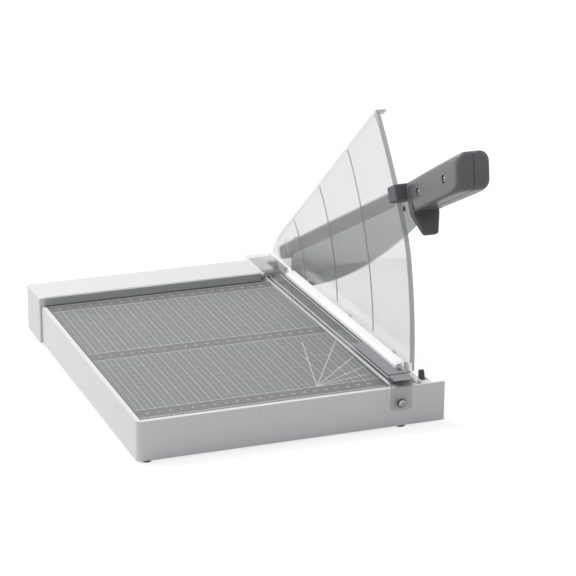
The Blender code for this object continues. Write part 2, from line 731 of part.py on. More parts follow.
def pivot_bracket():
    """Bent steel bracket: a leg on the base, a floor and the cheek for the bolt."""
    front = PIVOT_Y - BRACKET_HALF
    back = PIVOT_Y + BRACKET_HALF
    left = BASE_WIDTH + CLEAR
    right = CHEEK_X + BRACKET_THICKNESS
    top = PIVOT_Z + CHEEK_RADIUS
    floor = BRACKET_FLOOR + BRACKET_THICKNESS
    section = rounded([
        (left, BRACKET_FLOOR, BRACKET_THICKNESS), (right, BRACKET_FLOOR, BRACKET_THICKNESS),
        (right, top + OVERRUN, 0), (CHEEK_X, top + OVERRUN, 0), (CHEEK_X, floor, 0),
        (left + BRACKET_LEG, floor, 0), (left + BRACKET_LEG, BRACKET_LEG_TOP, 0),
        (left, BRACKET_LEG_TOP, 0)])
    bracket = plate("pivot_bracket", section, front - OVERRUN, back + OVERRUN, "Y")
    side = rounded([
        (front, BRACKET_FLOOR - OVERRUN, 0), (back, BRACKET_FLOOR - OVERRUN, 0),
        (back, BRACKET_LEG_TOP - BRACKET_THICKNESS, 0), (PIVOT_Y + CHEEK_RADIUS, top, CHEEK_RADIUS),
        (PIVOT_Y - CHEEK_RADIUS, top, CHEEK_RADIUS), (front, BRACKET_LEG_TOP - BRACKET_THICKNESS, 0)])
    keep(bracket, plate("side", side, left - OVERRUN, right + OVERRUN, "X"))
    holes = [rod("hole", BOLT_RADIUS + CLEAR, CHEEK_X - OVERRUN,
                 CHEEK_X + BRACKET_THICKNESS + OVERRUN, "X", (0, PIVOT_Y, PIVOT_Z))]
    holes += [rod("hole", SCREW_RADIUS + CLEAR, left - OVERRUN, left + BRACKET_LEG + OVERRUN,
                  "X", (0, y, BRACKET_SCREW_Z)) for y in bracket_screw_places()]
    return fit(cut(bracket, *holes), FRAME, "zinc")


def pan_screw(name, across, centre, seat, tip, radius=SCREW_RADIUS,
              head=SCREW_HEAD_RADIUS, height=PAN_HEIGHT):
    """Screw with a domed head that stands on seat."""
    out = math.copysign(height, seat - tip)
    profile = [(0, seat + out), (head * 2 / 3, seat + out), (head, seat + out / 2),
               (head, seat), (radius, seat), (radius, tip), (0, tip)]
    return spin(name, profile if seat > tip else profile[::-1], across, centre)


def bracket_screws():
    """Two screws that hold the pivot bracket to the base."""
    seat = BASE_WIDTH + CLEAR + BRACKET_LEG + CLEAR
    items = [pan_screw("screw", "X", (0, y, BRACKET_SCREW_Z), seat, BASE_WIDTH - WALL - OVERRUN)
             for y in bracket_screw_places()]
    fit_row("bracket_screw", items, FRAME, "zinc")


def bolt_stack():
    """Pivot bolt with its spacer, spring washer, washer and nut, left to right."""
    centre = (0, PIVOT_Y, PIVOT_Z)
    head = ARM_LEFT + CLEAR
    outer = CHEEK_X + BRACKET_THICKNESS + CLEAR
    spring_top = outer + SPRING_DISH + WASHER_THICKNESS
    washer_low = spring_top + CLEAR
    nut_low = washer_low + WASHER_THICKNESS + CLEAR
    nut_high = nut_low + NUT_HEIGHT
    bore = BOLT_RADIUS + CLEAR
    profile = [(0, nut_high + BOLT_TAIL), (BOLT_RADIUS, nut_high + BOLT_TAIL),
               (BOLT_RADIUS, head + BOLT_HEAD_DEPTH), (BOLT_HEAD_RADIUS, head), (0, head)]
    fit(spin("pivot_bolt", profile, "X", centre), FRAME, "steel")
    rings = {
        "pivot_spacer": (ARM_RIGHT + CLEAR, CHEEK_X - CLEAR, 0),
        "pivot_spring_washer": (outer, outer + WASHER_THICKNESS, SPRING_DISH),
        "pivot_washer": (washer_low, washer_low + WASHER_THICKNESS, 0),
    }
    for name, (low, high, dish) in rings.items():
        ring = [(bore, high + dish), (WASHER_RADIUS, high), (WASHER_RADIUS, low),
                (bore, low + dish), (bore, high + dish)]
        fit(spin(name, ring, "X", centre), FRAME, "zinc")
    nut = rod("pivot_nut", NUT_RADIUS, nut_low, nut_high, "X", centre, NUT_SIDES)
    cut(nut, rod("bore", bore, nut_low - OVERRUN, nut_high + OVERRUN, "X", centre))
    fit(nut, FRAME, "zinc")


def arm_bar():
    """Steel bar with a rounded back, a seat for the blade and a tang for the grip."""
    side = rounded(arm_points([(-BAR_TAIL, -BAR_HALF, BAR_TAIL_CORNER), (BAR_REACH, -BAR_HALF, 0),
                               (BAR_REACH, BAR_HALF, 0), (-BAR_TAIL, BAR_HALF, BAR_TAIL_CORNER)]))
    bar = plate("arm_bar", side, ARM_LEFT, ARM_RIGHT, "X")
    section = rounded([(ARM_LEFT, PIVOT_Z - BAR_HALF, 0), (ARM_RIGHT, PIVOT_Z - BAR_HALF, 0),
                       (ARM_RIGHT, PIVOT_Z + BAR_HALF, BAR_ROUND),
                       (ARM_LEFT, PIVOT_Z + BAR_HALF, BAR_ROUND)])
    far = PIVOT_Y - BAR_REACH - OVERRUN
    near = PIVOT_Y + BAR_TAIL + OVERRUN
    keep(bar, plate("section", section, far, near, "Y"))
    seat = plate("seat", rounded(arm_points([
        (SEAT_START, 0, 0), (SEAT_START, -BAR_HALF - SEAT_DROP, BLADE_SCREW_INSET / 3),
        (SEAT_END, -BAR_HALF - SEAT_DROP, BLADE_SCREW_INSET / 3), (SEAT_END, 0, 0)])),
        SEAT_X, ARM_RIGHT, "X")
    tang = plate("tang", rounded(arm_points([
        (BAR_REACH - OVERRUN, -TANG_DROP - TANG_HALF, 0),
        (TANG_END, -TANG_DROP - TANG_HALF, TANG_HALF / 2),
        (TANG_END, TANG_HALF - TANG_DROP, TANG_HALF / 2),
        (BAR_REACH - OVERRUN, TANG_HALF - TANG_DROP, 0)])),
        ARM_MIDDLE - TANG_WIDTH / 2, ARM_MIDDLE + TANG_WIDTH / 2, "X")
    add(bar, seat, tang)
    centre = (0, PIVOT_Y, PIVOT_Z)
    sink = ARM_LEFT + BOLT_HEAD_DEPTH + CLEAR * 2
    holes = [spin("eye", [(0, ARM_RIGHT + OVERRUN), (BUSH_RADIUS + CLEAR, ARM_RIGHT + OVERRUN),
                          (BUSH_RADIUS + CLEAR, sink), (BOLT_HEAD_RADIUS + CLEAR, sink),
                          (BOLT_HEAD_RADIUS + CLEAR, ARM_LEFT - OVERRUN),
                          (0, ARM_LEFT - OVERRUN)], "X", centre)]
    holes += [rod("hole", SCREW_RADIUS + CLEAR, SEAT_X - OVERRUN, ARM_RIGHT + OVERRUN, "X",
                  (0, PIVOT_Y - along, blade_screw_z())) for along in blade_screw_places()]
    holes += [rod("hole", SCREW_RADIUS + CLEAR, ARM_MIDDLE - TANG_WIDTH, ARM_MIDDLE + TANG_WIDTH,
                  "X", (0, PIVOT_Y - along, PIVOT_Z - TANG_DROP)) for along in GRIP_SCREW_AT]
    return fit(cut(bar, *holes), ARM, "bar")


def blade_screw_z():
    """Height of the blade's screws, in the middle of the bar's seat."""
    return PIVOT_Z - BAR_HALF - SEAT_DROP / 2


def pivot_bush():
    """Bush in the bar's eye that turns on the bolt."""
    low = ARM_LEFT + BOLT_HEAD_DEPTH + CLEAR * 3
    bore = BOLT_RADIUS + CLEAR
    ring = [(bore, ARM_RIGHT), (BUSH_RADIUS, ARM_RIGHT), (BUSH_RADIUS, low), (bore, low),
            (bore, ARM_RIGHT)]
    bush = spin("pivot_bush", ring, "X", (0, PIVOT_Y, PIVOT_Z))
    return fit(bush, ARM, "zinc")


def blade_edge(along):
    """Depth of the crescent edge under the bar's middle line."""
    return -BLADE_LOW + (along - BLADE_LOW_AT) ** 2 / (2 * BLADE_EDGE_RADIUS)


def moving_blade():
    """Crescent blade: one long arc for the edge, a raked nose and a rounded heel."""
    top = -BAR_HALF - CLEAR
    outline = [(BLADE_START, top, 0), (BLADE_START, top - BLADE_HEEL_DROP, 0)]
    span = BLADE_TIP - BLADE_HEEL
    for step in range(BLADE_EDGE_STEPS + 1):
        along = BLADE_HEEL + span * step / BLADE_EDGE_STEPS
        outline.append((along, blade_edge(along), 0))
    outline += [(BLADE_NOSE, -BLADE_NOSE_DROP, 0), (BLADE_NOSE, top, 0)]
    points = [(y, z) for y, z, _ in arm_points(outline)]
    blade = plate("moving_blade", points, ARM_LEFT, ARM_LEFT + BLADE_THICKNESS, "X")
    for along in blade_screw_places():
        cut(blade, rod("hole", SCREW_RADIUS + CLEAR, ARM_LEFT + BLADE_THICKNESS / 2,
                       SEAT_X + OVERRUN, "X", (0, PIVOT_Y - along, blade_screw_z())))
    return fit(blade, ARM, "steel")


def blade_screws():
    """Row of screws through the bar's seat into the blade."""
    tip = ARM_LEFT + BLADE_THICKNESS / 2 + CLEAR
    items = [pan_screw("screw", "X", (0, PIVOT_Y - along, blade_screw_z()), ARM_RIGHT + CLEAR, tip)
             for along in blade_screw_places()]
    fit_row("blade_screw", items, ARM, "zinc")


def press_block():
    """Block on the bar's left face that pushes the clamp down at the end of a cut."""
    low = (PRESS_LEFT, PIVOT_Y - BAR_REACH, PIVOT_Z - PRESS_LOW)
    high = (ARM_LEFT - CLEAR, PIVOT_Y - PRESS_START, PIVOT_Z + PRESS_HIGH)
    return fit(box("press_block", low, high, PRESS_EDGE), ARM, "dark")


def hand_guard():
    """Curved shield under the grip's start that keeps fingers off the blade."""
    start = SHIELD_START
    end = start + SHIELD_THICKNESS
    tip = start + SHIELD_SWEEP
    outline = rounded(arm_points([
        (start, SHIELD_TOP, SHIELD_EDGE), (start, -SHIELD_WAIST, SHIELD_WAIST),
        (tip, -SHIELD_LOW, SHIELD_EDGE), (tip + SHIELD_TIP_THICKNESS, -SHIELD_LOW, SHIELD_EDGE),
        (end, -SHIELD_WAIST, SHIELD_WAIST), (end, SHIELD_TOP, SHIELD_EDGE)]))
    shield = plate("hand_guard", outline, ARM_MIDDLE - GRIP_WIDTH / 2,
                   ARM_MIDDLE + GRIP_WIDTH / 2, "X")
    half = GRIP_WIDTH / 2
    tip_half = SHIELD_TIP_WIDTH / 2
    face = rounded([
        (ARM_MIDDLE - half, PIVOT_Z + SHIELD_TOP, GRIP_CORNER),
        (ARM_MIDDLE - half, PIVOT_Z - SHIELD_WAIST, SHIELD_WAIST),
        (ARM_MIDDLE - tip_half, PIVOT_Z - SHIELD_LOW, tip_half / 2),
        (ARM_MIDDLE + tip_half, PIVOT_Z - SHIELD_LOW, tip_half / 2),
        (ARM_MIDDLE + half, PIVOT_Z - SHIELD_WAIST, SHIELD_WAIST),
        (ARM_MIDDLE + half, PIVOT_Z + SHIELD_TOP, GRIP_CORNER)])
    far = PIVOT_Y - tip - SHIELD_THICKNESS - OVERRUN
    keep(shield, plate("face", face, far, PIVOT_Y - start + OVERRUN, "Y"))
    slot = box("slot", (ARM_MIDDLE - TANG_WIDTH / 2 - CLEAR, far,
                       PIVOT_Z - TANG_DROP - TANG_HALF - CLEAR),
               (ARM_MIDDLE + TANG_WIDTH / 2 + CLEAR, PIVOT_Y - start + OVERRUN,
                PIVOT_Z - TANG_DROP + TANG_HALF + CLEAR))
    return fit(cut(shield, slot), ARM, "shield")


def grip_shells():
    """Two half shells round the tang, which meet at a middle seam."""
    corners = [(GRIP_START, GRIP_TOP, GRIP_CORNER), (GRIP_END, GRIP_END_TOP, GRIP_CORNER),
               (GRIP_END - GRIP_LEAN, -GRIP_END_BOTTOM, GRIP_CORNER),
               (GRIP_START, -GRIP_BOTTOM, GRIP_CORNER)]
    length = GRIP_END - GRIP_START
    swell = GRIP_END_WIDTH / GRIP_WIDTH - 1
    tang = TANG_WIDTH / 2 + CLEAR
    height = GRIP_BOTTOM + GRIP_TOP
    for name, side in (("grip_left", -1), ("grip_right", 1)):
        grip = plate(name, rounded(arm_points(corners)), ARM_MIDDLE - GRIP_WIDTH / 2,
                     ARM_MIDDLE + GRIP_WIDTH / 2, "X", GRIP_ROUND)
        for vertex in grip.data.vertices:
            along = (PIVOT_Y - vertex.co.y - GRIP_START) / length
            vertex.co.x = ARM_MIDDLE + (vertex.co.x - ARM_MIDDLE) * (1 + swell * along)
        seam = ARM_MIDDLE + side * CLEAR / 2
        outer = ARM_MIDDLE - side * GRIP_END_WIDTH
        cuts = [box("half", (min(seam, outer), PIVOT_Y - GRIP_END - OVERRUN, PIVOT_Z - height),
                    (max(seam, outer), PIVOT_Y - SHIELD_START, PIVOT_Z + height)),
                box("tang", (ARM_MIDDLE - tang, PIVOT_Y - TANG_END - CLEAR,
                             PIVOT_Z - TANG_DROP - TANG_HALF - CLEAR),
                    (ARM_MIDDLE + tang, PIVOT_Y - SHIELD_START, PIVOT_Z - TANG_DROP + TANG_HALF + CLEAR))]
        for along in GRIP_SCREW_AT:
            centre = (0, PIVOT_Y - along, PIVOT_Z - TANG_DROP)
            sink = grip_screw_seat(along) - CLEAR
            outside = ARM_MIDDLE - GRIP_END_WIDTH
            cuts.append(spin("hole", [(0, grip_screw_tip() + CLEAR),
                                      (SCREW_RADIUS + CLEAR, grip_screw_tip() + CLEAR),
                                      (SCREW_RADIUS + CLEAR, sink + CLEAR),
                                      (SCREW_HEAD_RADIUS + CLEAR, sink + CLEAR),
                                      (SCREW_HEAD_RADIUS + CLEAR, outside), (0, outside)],
                             "X", centre))
        fit(cut(grip, *cuts), ARM, "grip")


def grip_screw_tip():
    """Where the grip screws end in the right shell."""
    return ARM_MIDDLE + GRIP_WIDTH / 4


def grip_screw_seat(along):
    """Bottom of a grip screw's sunk head on the left shell."""
    share = (along - GRIP_START) / (GRIP_END - GRIP_START)
    half = (GRIP_WIDTH + (GRIP_END_WIDTH - GRIP_WIDTH) * share) / 2
    return ARM_MIDDLE - half + GRIP_SCREW_SINK + PAN_HEIGHT


def grip_screws():
    """Two screws from the left that pull the grip shells on the tang."""
    items = [pan_screw("screw", "X", (0, PIVOT_Y - along, PIVOT_Z - TANG_DROP),
                       grip_screw_seat(along) - CLEAR, grip_screw_tip()) for along in GRIP_SCREW_AT]
    fit_row("grip_screw", items, ARM, "dark")


def clamp_strip():
    """Clear strip with a hinge tongue behind and a slotted tab over the front wall."""
    back = -TAB_GAP
    front = back - CLAMP_THICKNESS
    strip = plate("clamp_strip", rounded([
        (CLAMP_LEFT, front, TAB_CORNER), (CLAMP_RIGHT, front, TAB_CORNER),
        (CLAMP_RIGHT, CLAMP_BACK, 0), (CLAMP_LEFT, CLAMP_BACK, TAB_CORNER)]),
        CLAMP_UNDER, CLAMP_TOP, "Z")
    tongue = plate("tongue", rounded([
        (CLAMP_BACK - OVERRUN, CLAMP_UNDER + CLEAR, 0),
        (HINGE_Y, HINGE_Z - KNUCKLE_RADIUS + CLEAR, 0),
        (HINGE_Y + KNUCKLE_RADIUS / 2, HINGE_Z - KNUCKLE_RADIUS / 2, 0),
        (HINGE_Y, HINGE_Z, 0), (HINGE_Y - KNUCKLE_RADIUS, CLAMP_TOP - CLEAR, 0),
        (CLAMP_BACK - OVERRUN, CLAMP_TOP - CLEAR, 0)]), TONGUE_LEFT, TONGUE_RIGHT, "X")
    knuckle = rod("knuckle", KNUCKLE_RADIUS, TONGUE_LEFT, TONGUE_RIGHT, "X",
                  (0, HINGE_Y, HINGE_Z))
    tab = plate("tab", rounded([
        (TAB_LEFT, TAB_LOW, TAB_CORNER), (TAB_RIGHT, TAB_LOW, TAB_CORNER),
        (TAB_RIGHT, CLAMP_UNDER + CLAMP_THICKNESS / 2, 0),
        (TAB_LEFT, CLAMP_UNDER + CLAMP_THICKNESS / 2, 0)]),
        front + CLEAR, back, "Y")
    add(strip, tongue, knuckle, tab)
    travel = (HINGE_Y + TAB_GAP) * math.sin(CLAMP_LIFT)
    slot = plate("slot", rectangle((GUIDE_X - SLOT_HALF, GUIDE_Z - travel - SLOT_HALF - CLEAR),
                                   (GUIDE_X + SLOT_HALF, GUIDE_Z + SLOT_HALF + CLEAR), SLOT_HALF),
                 front - OVERRUN, back + OVERRUN / 2, "Y")
    bore = rod("bore", PIN_RADIUS + CLEAR, TONGUE_LEFT - OVERRUN, TONGUE_RIGHT + OVERRUN, "X",
               (0, HINGE_Y, HINGE_Z))
    return fit(cut(strip, slot, bore), CLAMP, "clear")


def clamp_hinge_pin():
    """Steel pin through the rail's pocket that the clamp turns on."""
    pin = rod("clamp_hinge_pin", PIN_RADIUS, TONGUE_LEFT - PIN_INSET, RAIL_END - CLEAR, "X",
              (0, HINGE_Y, HINGE_Z))
    return fit(pin, FRAME, "steel")


def clamp_guide():
    """Screw and ring in the front wall that the clamp's slotted tab slides on."""
    front = -TAB_GAP - CLAMP_THICKNESS
    centre = (GUIDE_X, 0, GUIDE_Z)
    ring_back = front - CLEAR * 2
    ring_front = ring_back - GUIDE_RING
    seat = ring_front - CLEAR
    screw = pan_screw("clamp_guide_screw", "Y", centre, seat, WALL + OVERRUN,
                      head=GUIDE_HEAD_RADIUS)
    fit(screw, FRAME, "zinc")
    ring = [(SCREW_RADIUS + CLEAR, ring_back), (GUIDE_RING_RADIUS, ring_back),
            (GUIDE_RING_RADIUS, ring_front), (SCREW_RADIUS + CLEAR, ring_front),
            (SCREW_RADIUS + CLEAR, ring_back)]
    fit(spin("clamp_guide_ring", ring, "Y", centre), FRAME, "dark")


def bar_section(inset):
    """Half round section of the clamp bar, drawn inside its size by inset."""
    low = CLAMP_TOP + CLEAR
    left = BAR_LEFT + inset
    right = CLAMP_RIGHT - inset
    high = low + CLAMP_BAR_HEIGHT - inset
    return rounded([(left, low, 0), (right, low, 0), (right, high, CLAMP_BAR_HEIGHT),
                    (left, high, CLAMP_BAR_HEIGHT)])


def clamp_bar():
    """White stiffening bar along the strip's cutting side."""
    bar = plate("clamp_bar", bar_section(0), CLAMP_BAR_FRONT, CLAMP_BAR_BACK, "Y")
    holes = [rod("hole", SCREW_RADIUS + CLEAR, guard_screw_tip() - CLEAR, CLAMP_RIGHT + OVERRUN,
                 "X", (0, y, guard_screw_z())) for y in GUARD_SCREW_Y]
    return fit(cut(bar, *holes), CLAMP, "white")


def bar_plugs():
    """Dark plugs on both ends of the clamp bar."""
    front = CLAMP_BAR_FRONT - CLEAR
    back = CLAMP_BAR_BACK + CLEAR
    spans = {"bar_plug_front": (front - PLUG_LENGTH, front),
             "bar_plug_rear": (back, back + PLUG_LENGTH)}
    for name, (low, high) in spans.items():
        fit(plate(name, bar_section(CLEAR), low, high, "Y"), CLAMP, "dark")


def press_pad():
    """Grey pad let into the clamp's top beside the bar, near the front."""
    notch = BOSS_Y - BOSS_RADIUS - CLEAR
    outline = rounded([
        (PAD_LEFT, PAD_FRONT, PAD_CORNER), (BASE_WIDTH - PAD_RIGHT_INSET, PAD_FRONT, PAD_CORNER),
        (BASE_WIDTH - PAD_RIGHT_INSET, notch, PAD_CORNER), (BAR_LEFT - CLEAR, notch, 0),
        (BAR_LEFT - CLEAR, PAD_BACK, PAD_CORNER), (PAD_LEFT, PAD_BACK, PAD_CORNER)])
    low = CLAMP_TOP + CLEAR
    return fit(plate("press_pad", outline, low, low + PAD_THICKNESS, "Z"), CLAMP, "pad")


def guard_front(steps):
    """Front edge of the fan: an arc about the arm's pivot that draws in at the tip."""
    points = []
    low = math.asin((CLAMP_TOP + CLEAR - PIVOT_Z) / GUARD_RADIUS)
    for step in range(steps + 1):
        angle = low + (GUARD_TIP_ANGLE - low) * step / steps
        share = max(0.0, (angle - GUARD_ROUND_FROM) / (GUARD_TIP_ANGLE - GUARD_ROUND_FROM))
        ease = math.sin(share * math.pi / 2)
        radius = GUARD_RADIUS - (GUARD_RADIUS - GUARD_TIP_RADIUS) * ease
        points.append((PIVOT_Y - radius * math.cos(angle), PIVOT_Z + radius * math.sin(angle)))
    return points


def guard_outline():
    """Whole outline of the fan, from the front foot over the tip to the tail."""
    points = guard_front(GUARD_EDGE_STEPS)
    low = CLAMP_TOP + CLEAR
    return points + [(GUARD_SHOULDER_Y, GUARD_SHOULDER_Z), (GUARD_BACK_Y, GUARD_TAIL_Z),
                     (GUARD_STEP_Y, GUARD_TAIL_Z), (GUARD_STEP_Y, low)]


def guard_window(rim):
    """Outline of the field inside a rim of the given depth, open below."""
    front = guard_front(GUARD_EDGE_STEPS)
    inner = []
    for y, z in front:
        arm = Vector((PIVOT_Y - y, z - PIVOT_Z))
        near = arm * (1 - rim / arm.length)
        inner.append((PIVOT_Y - near.x, PIVOT_Z + near.y))
    tip = Vector(front[-1])
    shoulder = Vector((GUARD_SHOULDER_Y, GUARD_SHOULDER_Z))
    back = Vector((GUARD_BACK_Y, GUARD_TAIL_Z))
    down = (shoulder - tip).normalized()
    inward = Vector((down.y, -down.x))
    if inward.y > 0:
        inward = -inward
    start = tip + inward * rim + down * rim * 2
    inner = [point for point in inner if Vector(point).y < start.y]
    under = PIVOT_Z / 2
    return ([(inner[0][0], under)] + inner
            + [tuple(start), tuple(shoulder + inward * rim),
               (back.x - rim * 2, back.y), (back.x - rim * 2, under)])


def guard_ribs():
    """Thin arcs on the fan about one centre, trimmed to the fan."""
    left = GUARD_LEFT - GUARD_RIB_HEIGHT
    for radius in RIB_RADII:
        outline = []
        for side, reach in ((1, radius + GUARD_RIB_WIDTH / 2), (-1, radius - GUARD_RIB_WIDTH / 2)):
            arc = [math.pi / 2 * step / RIB_ARC_STEPS for step in range(RIB_ARC_STEPS + 1)]
            for angle in arc[::side]:
                outline.append((RIB_CENTRE_Y - reach * math.cos(angle),
                                RIB_CENTRE_Z + reach * math.sin(angle)))
        rib = plate("rib", outline, left, GUARD_LEFT + GUARD_THICKNESS / 2, "X")
        trim = plate("trim", guard_window(GUARD_RIM_DEPTH / 2), left - OVERRUN, GUARD_RIGHT, "X")
        keep(rib, trim)
        lower = box("lower", (left - OVERRUN, -OVERRUN, 0),
                    (CUT_X, BASE_DEPTH + BAR_TAIL, GUARD_SEAT_TOP + CLEAR))
        yield cut(rib, lower)


def guard_screw_z():
    """Height of the guard's screws, in the middle of the clamp bar."""
    return CLAMP_TOP + CLEAR + CLAMP_BAR_HEIGHT / 2 - CLEAR


def guard_screw_tip():
    """Where the guard's screws end in the clamp bar."""
    return CLAMP_RIGHT - (CLAMP_RIGHT - BAR_LEFT) / 2


def fan_guard():
    """Clear fan guard: a thin field with a thick rim, arc ribs and a stop hook."""
    rim_left = GUARD_RIGHT - GUARD_RIM_WIDTH
    guard = plate("fan_guard", guard_outline(), rim_left, GUARD_RIGHT, "X")
    window = plate("window", guard_window(GUARD_RIM_DEPTH), rim_left - OVERRUN, GUARD_LEFT, "X")
    seat = box("seat", (rim_left - OVERRUN, -OVERRUN, 0),
               (GUARD_LEFT, BASE_DEPTH + BAR_TAIL, GUARD_SEAT_TOP))
    cut(guard, window, seat)
    add(guard, *guard_ribs())
    tip_y, tip_z = guard_front(GUARD_EDGE_STEPS)[-1]
    hook = box("hook", (GUARD_LEFT, tip_y, tip_z - HOOK_THICKNESS),
               (GUARD_RIGHT + HOOK_REACH, tip_y + HOOK_LENGTH, tip_z), CLEAR)
    slope = Vector((GUARD_SHOULDER_Y - tip_y, GUARD_SHOULDER_Z - tip_z))
    lean = math.atan2(slope.y, slope.x)
    turn = Matrix.Rotation(lean, 4, "X")
    pin = Matrix.Translation((0, tip_y, tip_z))
    hook.data.transform(pin @ turn @ pin.inverted())
    add(guard, hook)
    for y in GUARD_SCREW_Y:
        cut(guard, flat_sink((0, y, guard_screw_z()), GUARD_RIGHT, GUARD_LEFT))
    return fit(guard, CLAMP, "clear")


def guard_screws():
    """Countersunk screws that hold the guard to the clamp bar."""
    items = [flat_screw("screw", "X", (0, y, guard_screw_z()), GUARD_RIGHT - CLEAR,
                        guard_screw_tip()) for y in GUARD_SCREW_Y]
    fit_row("guard_screw", items, CLAMP, "zinc")


def guard_boss():
    """Clear boss on the strip that steadies the guard's front foot."""
    centre = (CLAMP_RIGHT - BOSS_RADIUS, BOSS_Y, CLAMP_TOP + CLEAR)
    profile = [(0, BOSS_HEIGHT), (BOSS_RADIUS * 2 / 3, BOSS_HEIGHT),
               (BOSS_RADIUS, BOSS_HEIGHT * 2 / 3), (BOSS_RADIUS, 0), (0, 0)]
    return fit(spin("guard_boss", profile, "Z", centre), CLAMP, "clear")


def hinge_cover():
    """Clear saddle over the rail that hides the clamp's hinge."""
    cover = box("hinge_cover", (COVER_LEFT, COVER_FRONT, RAIL_TOP + CLEAR),
                (COVER_RIGHT, COVER_BACK, COVER_TOP))
    front = box("lip", (COVER_LEFT, COVER_FRONT, COVER_TOP - COVER_FRONT_LIP),
                (COVER_RIGHT, COVER_FRONT + COVER_WALL, COVER_TOP))
    back = box("lip", (COVER_LEFT, BASE_DEPTH + CLEAR, COVER_TOP - COVER_BACK_LIP),
               (COVER_RIGHT, COVER_BACK, COVER_TOP))
    add(cover, front, back)
    inner = box("inner", (COVER_LEFT + COVER_WALL, COVER_FRONT + COVER_WALL, 0),
                (COVER_RIGHT + OVERRUN, BASE_DEPTH - COVER_WALL, COVER_TOP - COVER_WALL))
    cut(cover, inner)
    outline = rectangle((COVER_LEFT, COVER_FRONT), (COVER_RIGHT, COVER_BACK), COVER_CORNER)
    keep(cover, plate("outline", outline, 0, COVER_TOP, "Z"))
    return fit(cover, FRAME, "clear")


def hinge_cover_pad():
    """Grey pad between the rail and the clear cover."""
    outline = rectangle((COVER_PAD_LEFT, COVER_PAD_FRONT),
                        (COVER_PAD_LEFT + COVER_PAD_WIDTH, COVER_PAD_FRONT + COVER_PAD_LENGTH),
                        COVER_PAD_CORNER)
    low = RAIL_TOP + CLEAR
    return fit(plate("hinge_cover_pad", outline, low, low + COVER_PAD_THICKNESS, "Z"),
               FRAME, "pad")


def centre_on_floor():
    """Move the machine so that its box stands on the origin."""
    bpy.context.view_layer.update()
    solids = [item for item in PARTS.objects if item.type == "MESH"]
    corners = [item.matrix_world @ vertex.co for item in solids for vertex in item.data.vertices]
    lows = [min(corner[axis] for corner in corners) for axis in range(3)]
    highs = [max(corner[axis] for corner in corners) for axis in range(3)]
    FRAME.location = (-(lows[0] + highs[0]) / 2, -(lows[1] + highs[1]) / 2, -lows[2])


def main():
    """Build the base, the clamp and the arm, and centre the machine."""
    for make in (base_frame, table_plate, fixed_blade, fixed_blade_screws, feet, back_rail,
                 fence_strip, rail_end_cap, stop_block, stop_bumper, pivot_bracket,
                 bracket_screws, bolt_stack, clamp_hinge_pin, clamp_guide, hinge_cover,
                 hinge_cover_pad, clamp_strip, clamp_bar, bar_plugs, press_pad, fan_guard,
                 guard_screws, guard_boss, arm_bar, pivot_bush, moving_blade, blade_screws,
                 press_block, hand_guard, grip_shells, grip_screws):
        make()
    centre_on_floor()


main()
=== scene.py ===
"""The looks of a desk guillotine paper cutter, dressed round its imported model."""

import logging
import math
from dataclasses import dataclass
from enum import Enum
from typing import Any, Iterable, Sequence

import bmesh
import bpy
from bmesh.types import BMesh
from bpy.types import Material, Node, NodeSocket, NodeTree, Object
from mathutils import Matrix, Vector


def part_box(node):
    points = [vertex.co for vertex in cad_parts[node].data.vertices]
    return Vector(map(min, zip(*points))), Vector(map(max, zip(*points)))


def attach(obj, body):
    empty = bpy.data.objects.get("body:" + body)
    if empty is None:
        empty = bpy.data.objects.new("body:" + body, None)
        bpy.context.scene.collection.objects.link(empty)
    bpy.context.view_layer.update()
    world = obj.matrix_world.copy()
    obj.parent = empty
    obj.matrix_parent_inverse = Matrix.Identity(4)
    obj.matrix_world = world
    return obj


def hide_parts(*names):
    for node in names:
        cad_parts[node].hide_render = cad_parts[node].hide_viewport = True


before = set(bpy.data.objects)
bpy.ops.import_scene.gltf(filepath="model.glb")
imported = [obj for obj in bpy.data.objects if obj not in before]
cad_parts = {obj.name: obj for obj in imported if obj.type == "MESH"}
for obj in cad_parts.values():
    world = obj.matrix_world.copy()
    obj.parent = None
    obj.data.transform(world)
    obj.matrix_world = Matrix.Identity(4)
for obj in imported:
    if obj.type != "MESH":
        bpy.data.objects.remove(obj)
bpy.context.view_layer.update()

LOG = logging.getLogger("paper_cutter")
MM = 0.001
# Where the front left corner of the base's drawing stands in the model.
DRAWING = Vector((-138.45, -142.7289, 2.0)) * MM
# The hinges in that drawing: back from its front and up from its foot, in
# millimetres, and how far each hinged part is lifted at rest.
ARM_HINGE = (332.5, 55.0)
ARM_LIFT = math.radians(26.05)
CLAMP_HINGE = (330.0, 40.0)
CLAMP_LIFT = math.radians(0.75)
# Turns a round form's axis from upright to across the cutter.
TO_THE_SIDE = Matrix.Rotation(math.radians(90), 4, "Y")
# Thickness of one coat of screen ink, drawn as thick as it needs to stay clear of the table.
PRINT_RISE = 0.03 * MM
# Straight steps in each curve of a printed figure, which is about 4 mm high.
FIGURE_STEPS = 2


class Body(Enum):
    """The three bodies that move against each other."""

    BASE = "base"
    CLAMP = "clamp"
    ARM = "arm"


class Grain(Enum):
    """Which way the marks of grinding run on a metal piece."""

    ALONG_Y = "along_y"
    ALONG_ARM = "along_arm"
    ROUND = "round"


def linear(code: str) -> tuple[float, float, float, float]:
    """Turn an sRGB hex code into a linear colour.

    Args:
        code: The colour as "#RRGGBB".

    Returns:
        Red, green, blue and an alpha of 1, in linear light.
    """
    parts = [int(code[start:start + 2], 16) / 255 for start in (1, 3, 5)]
    light = [part / 12.92 if part <= 0.04045 else ((part + 0.055) / 1.055) ** 2.4 for part in parts]
    return light[0], light[1], light[2], 1.0


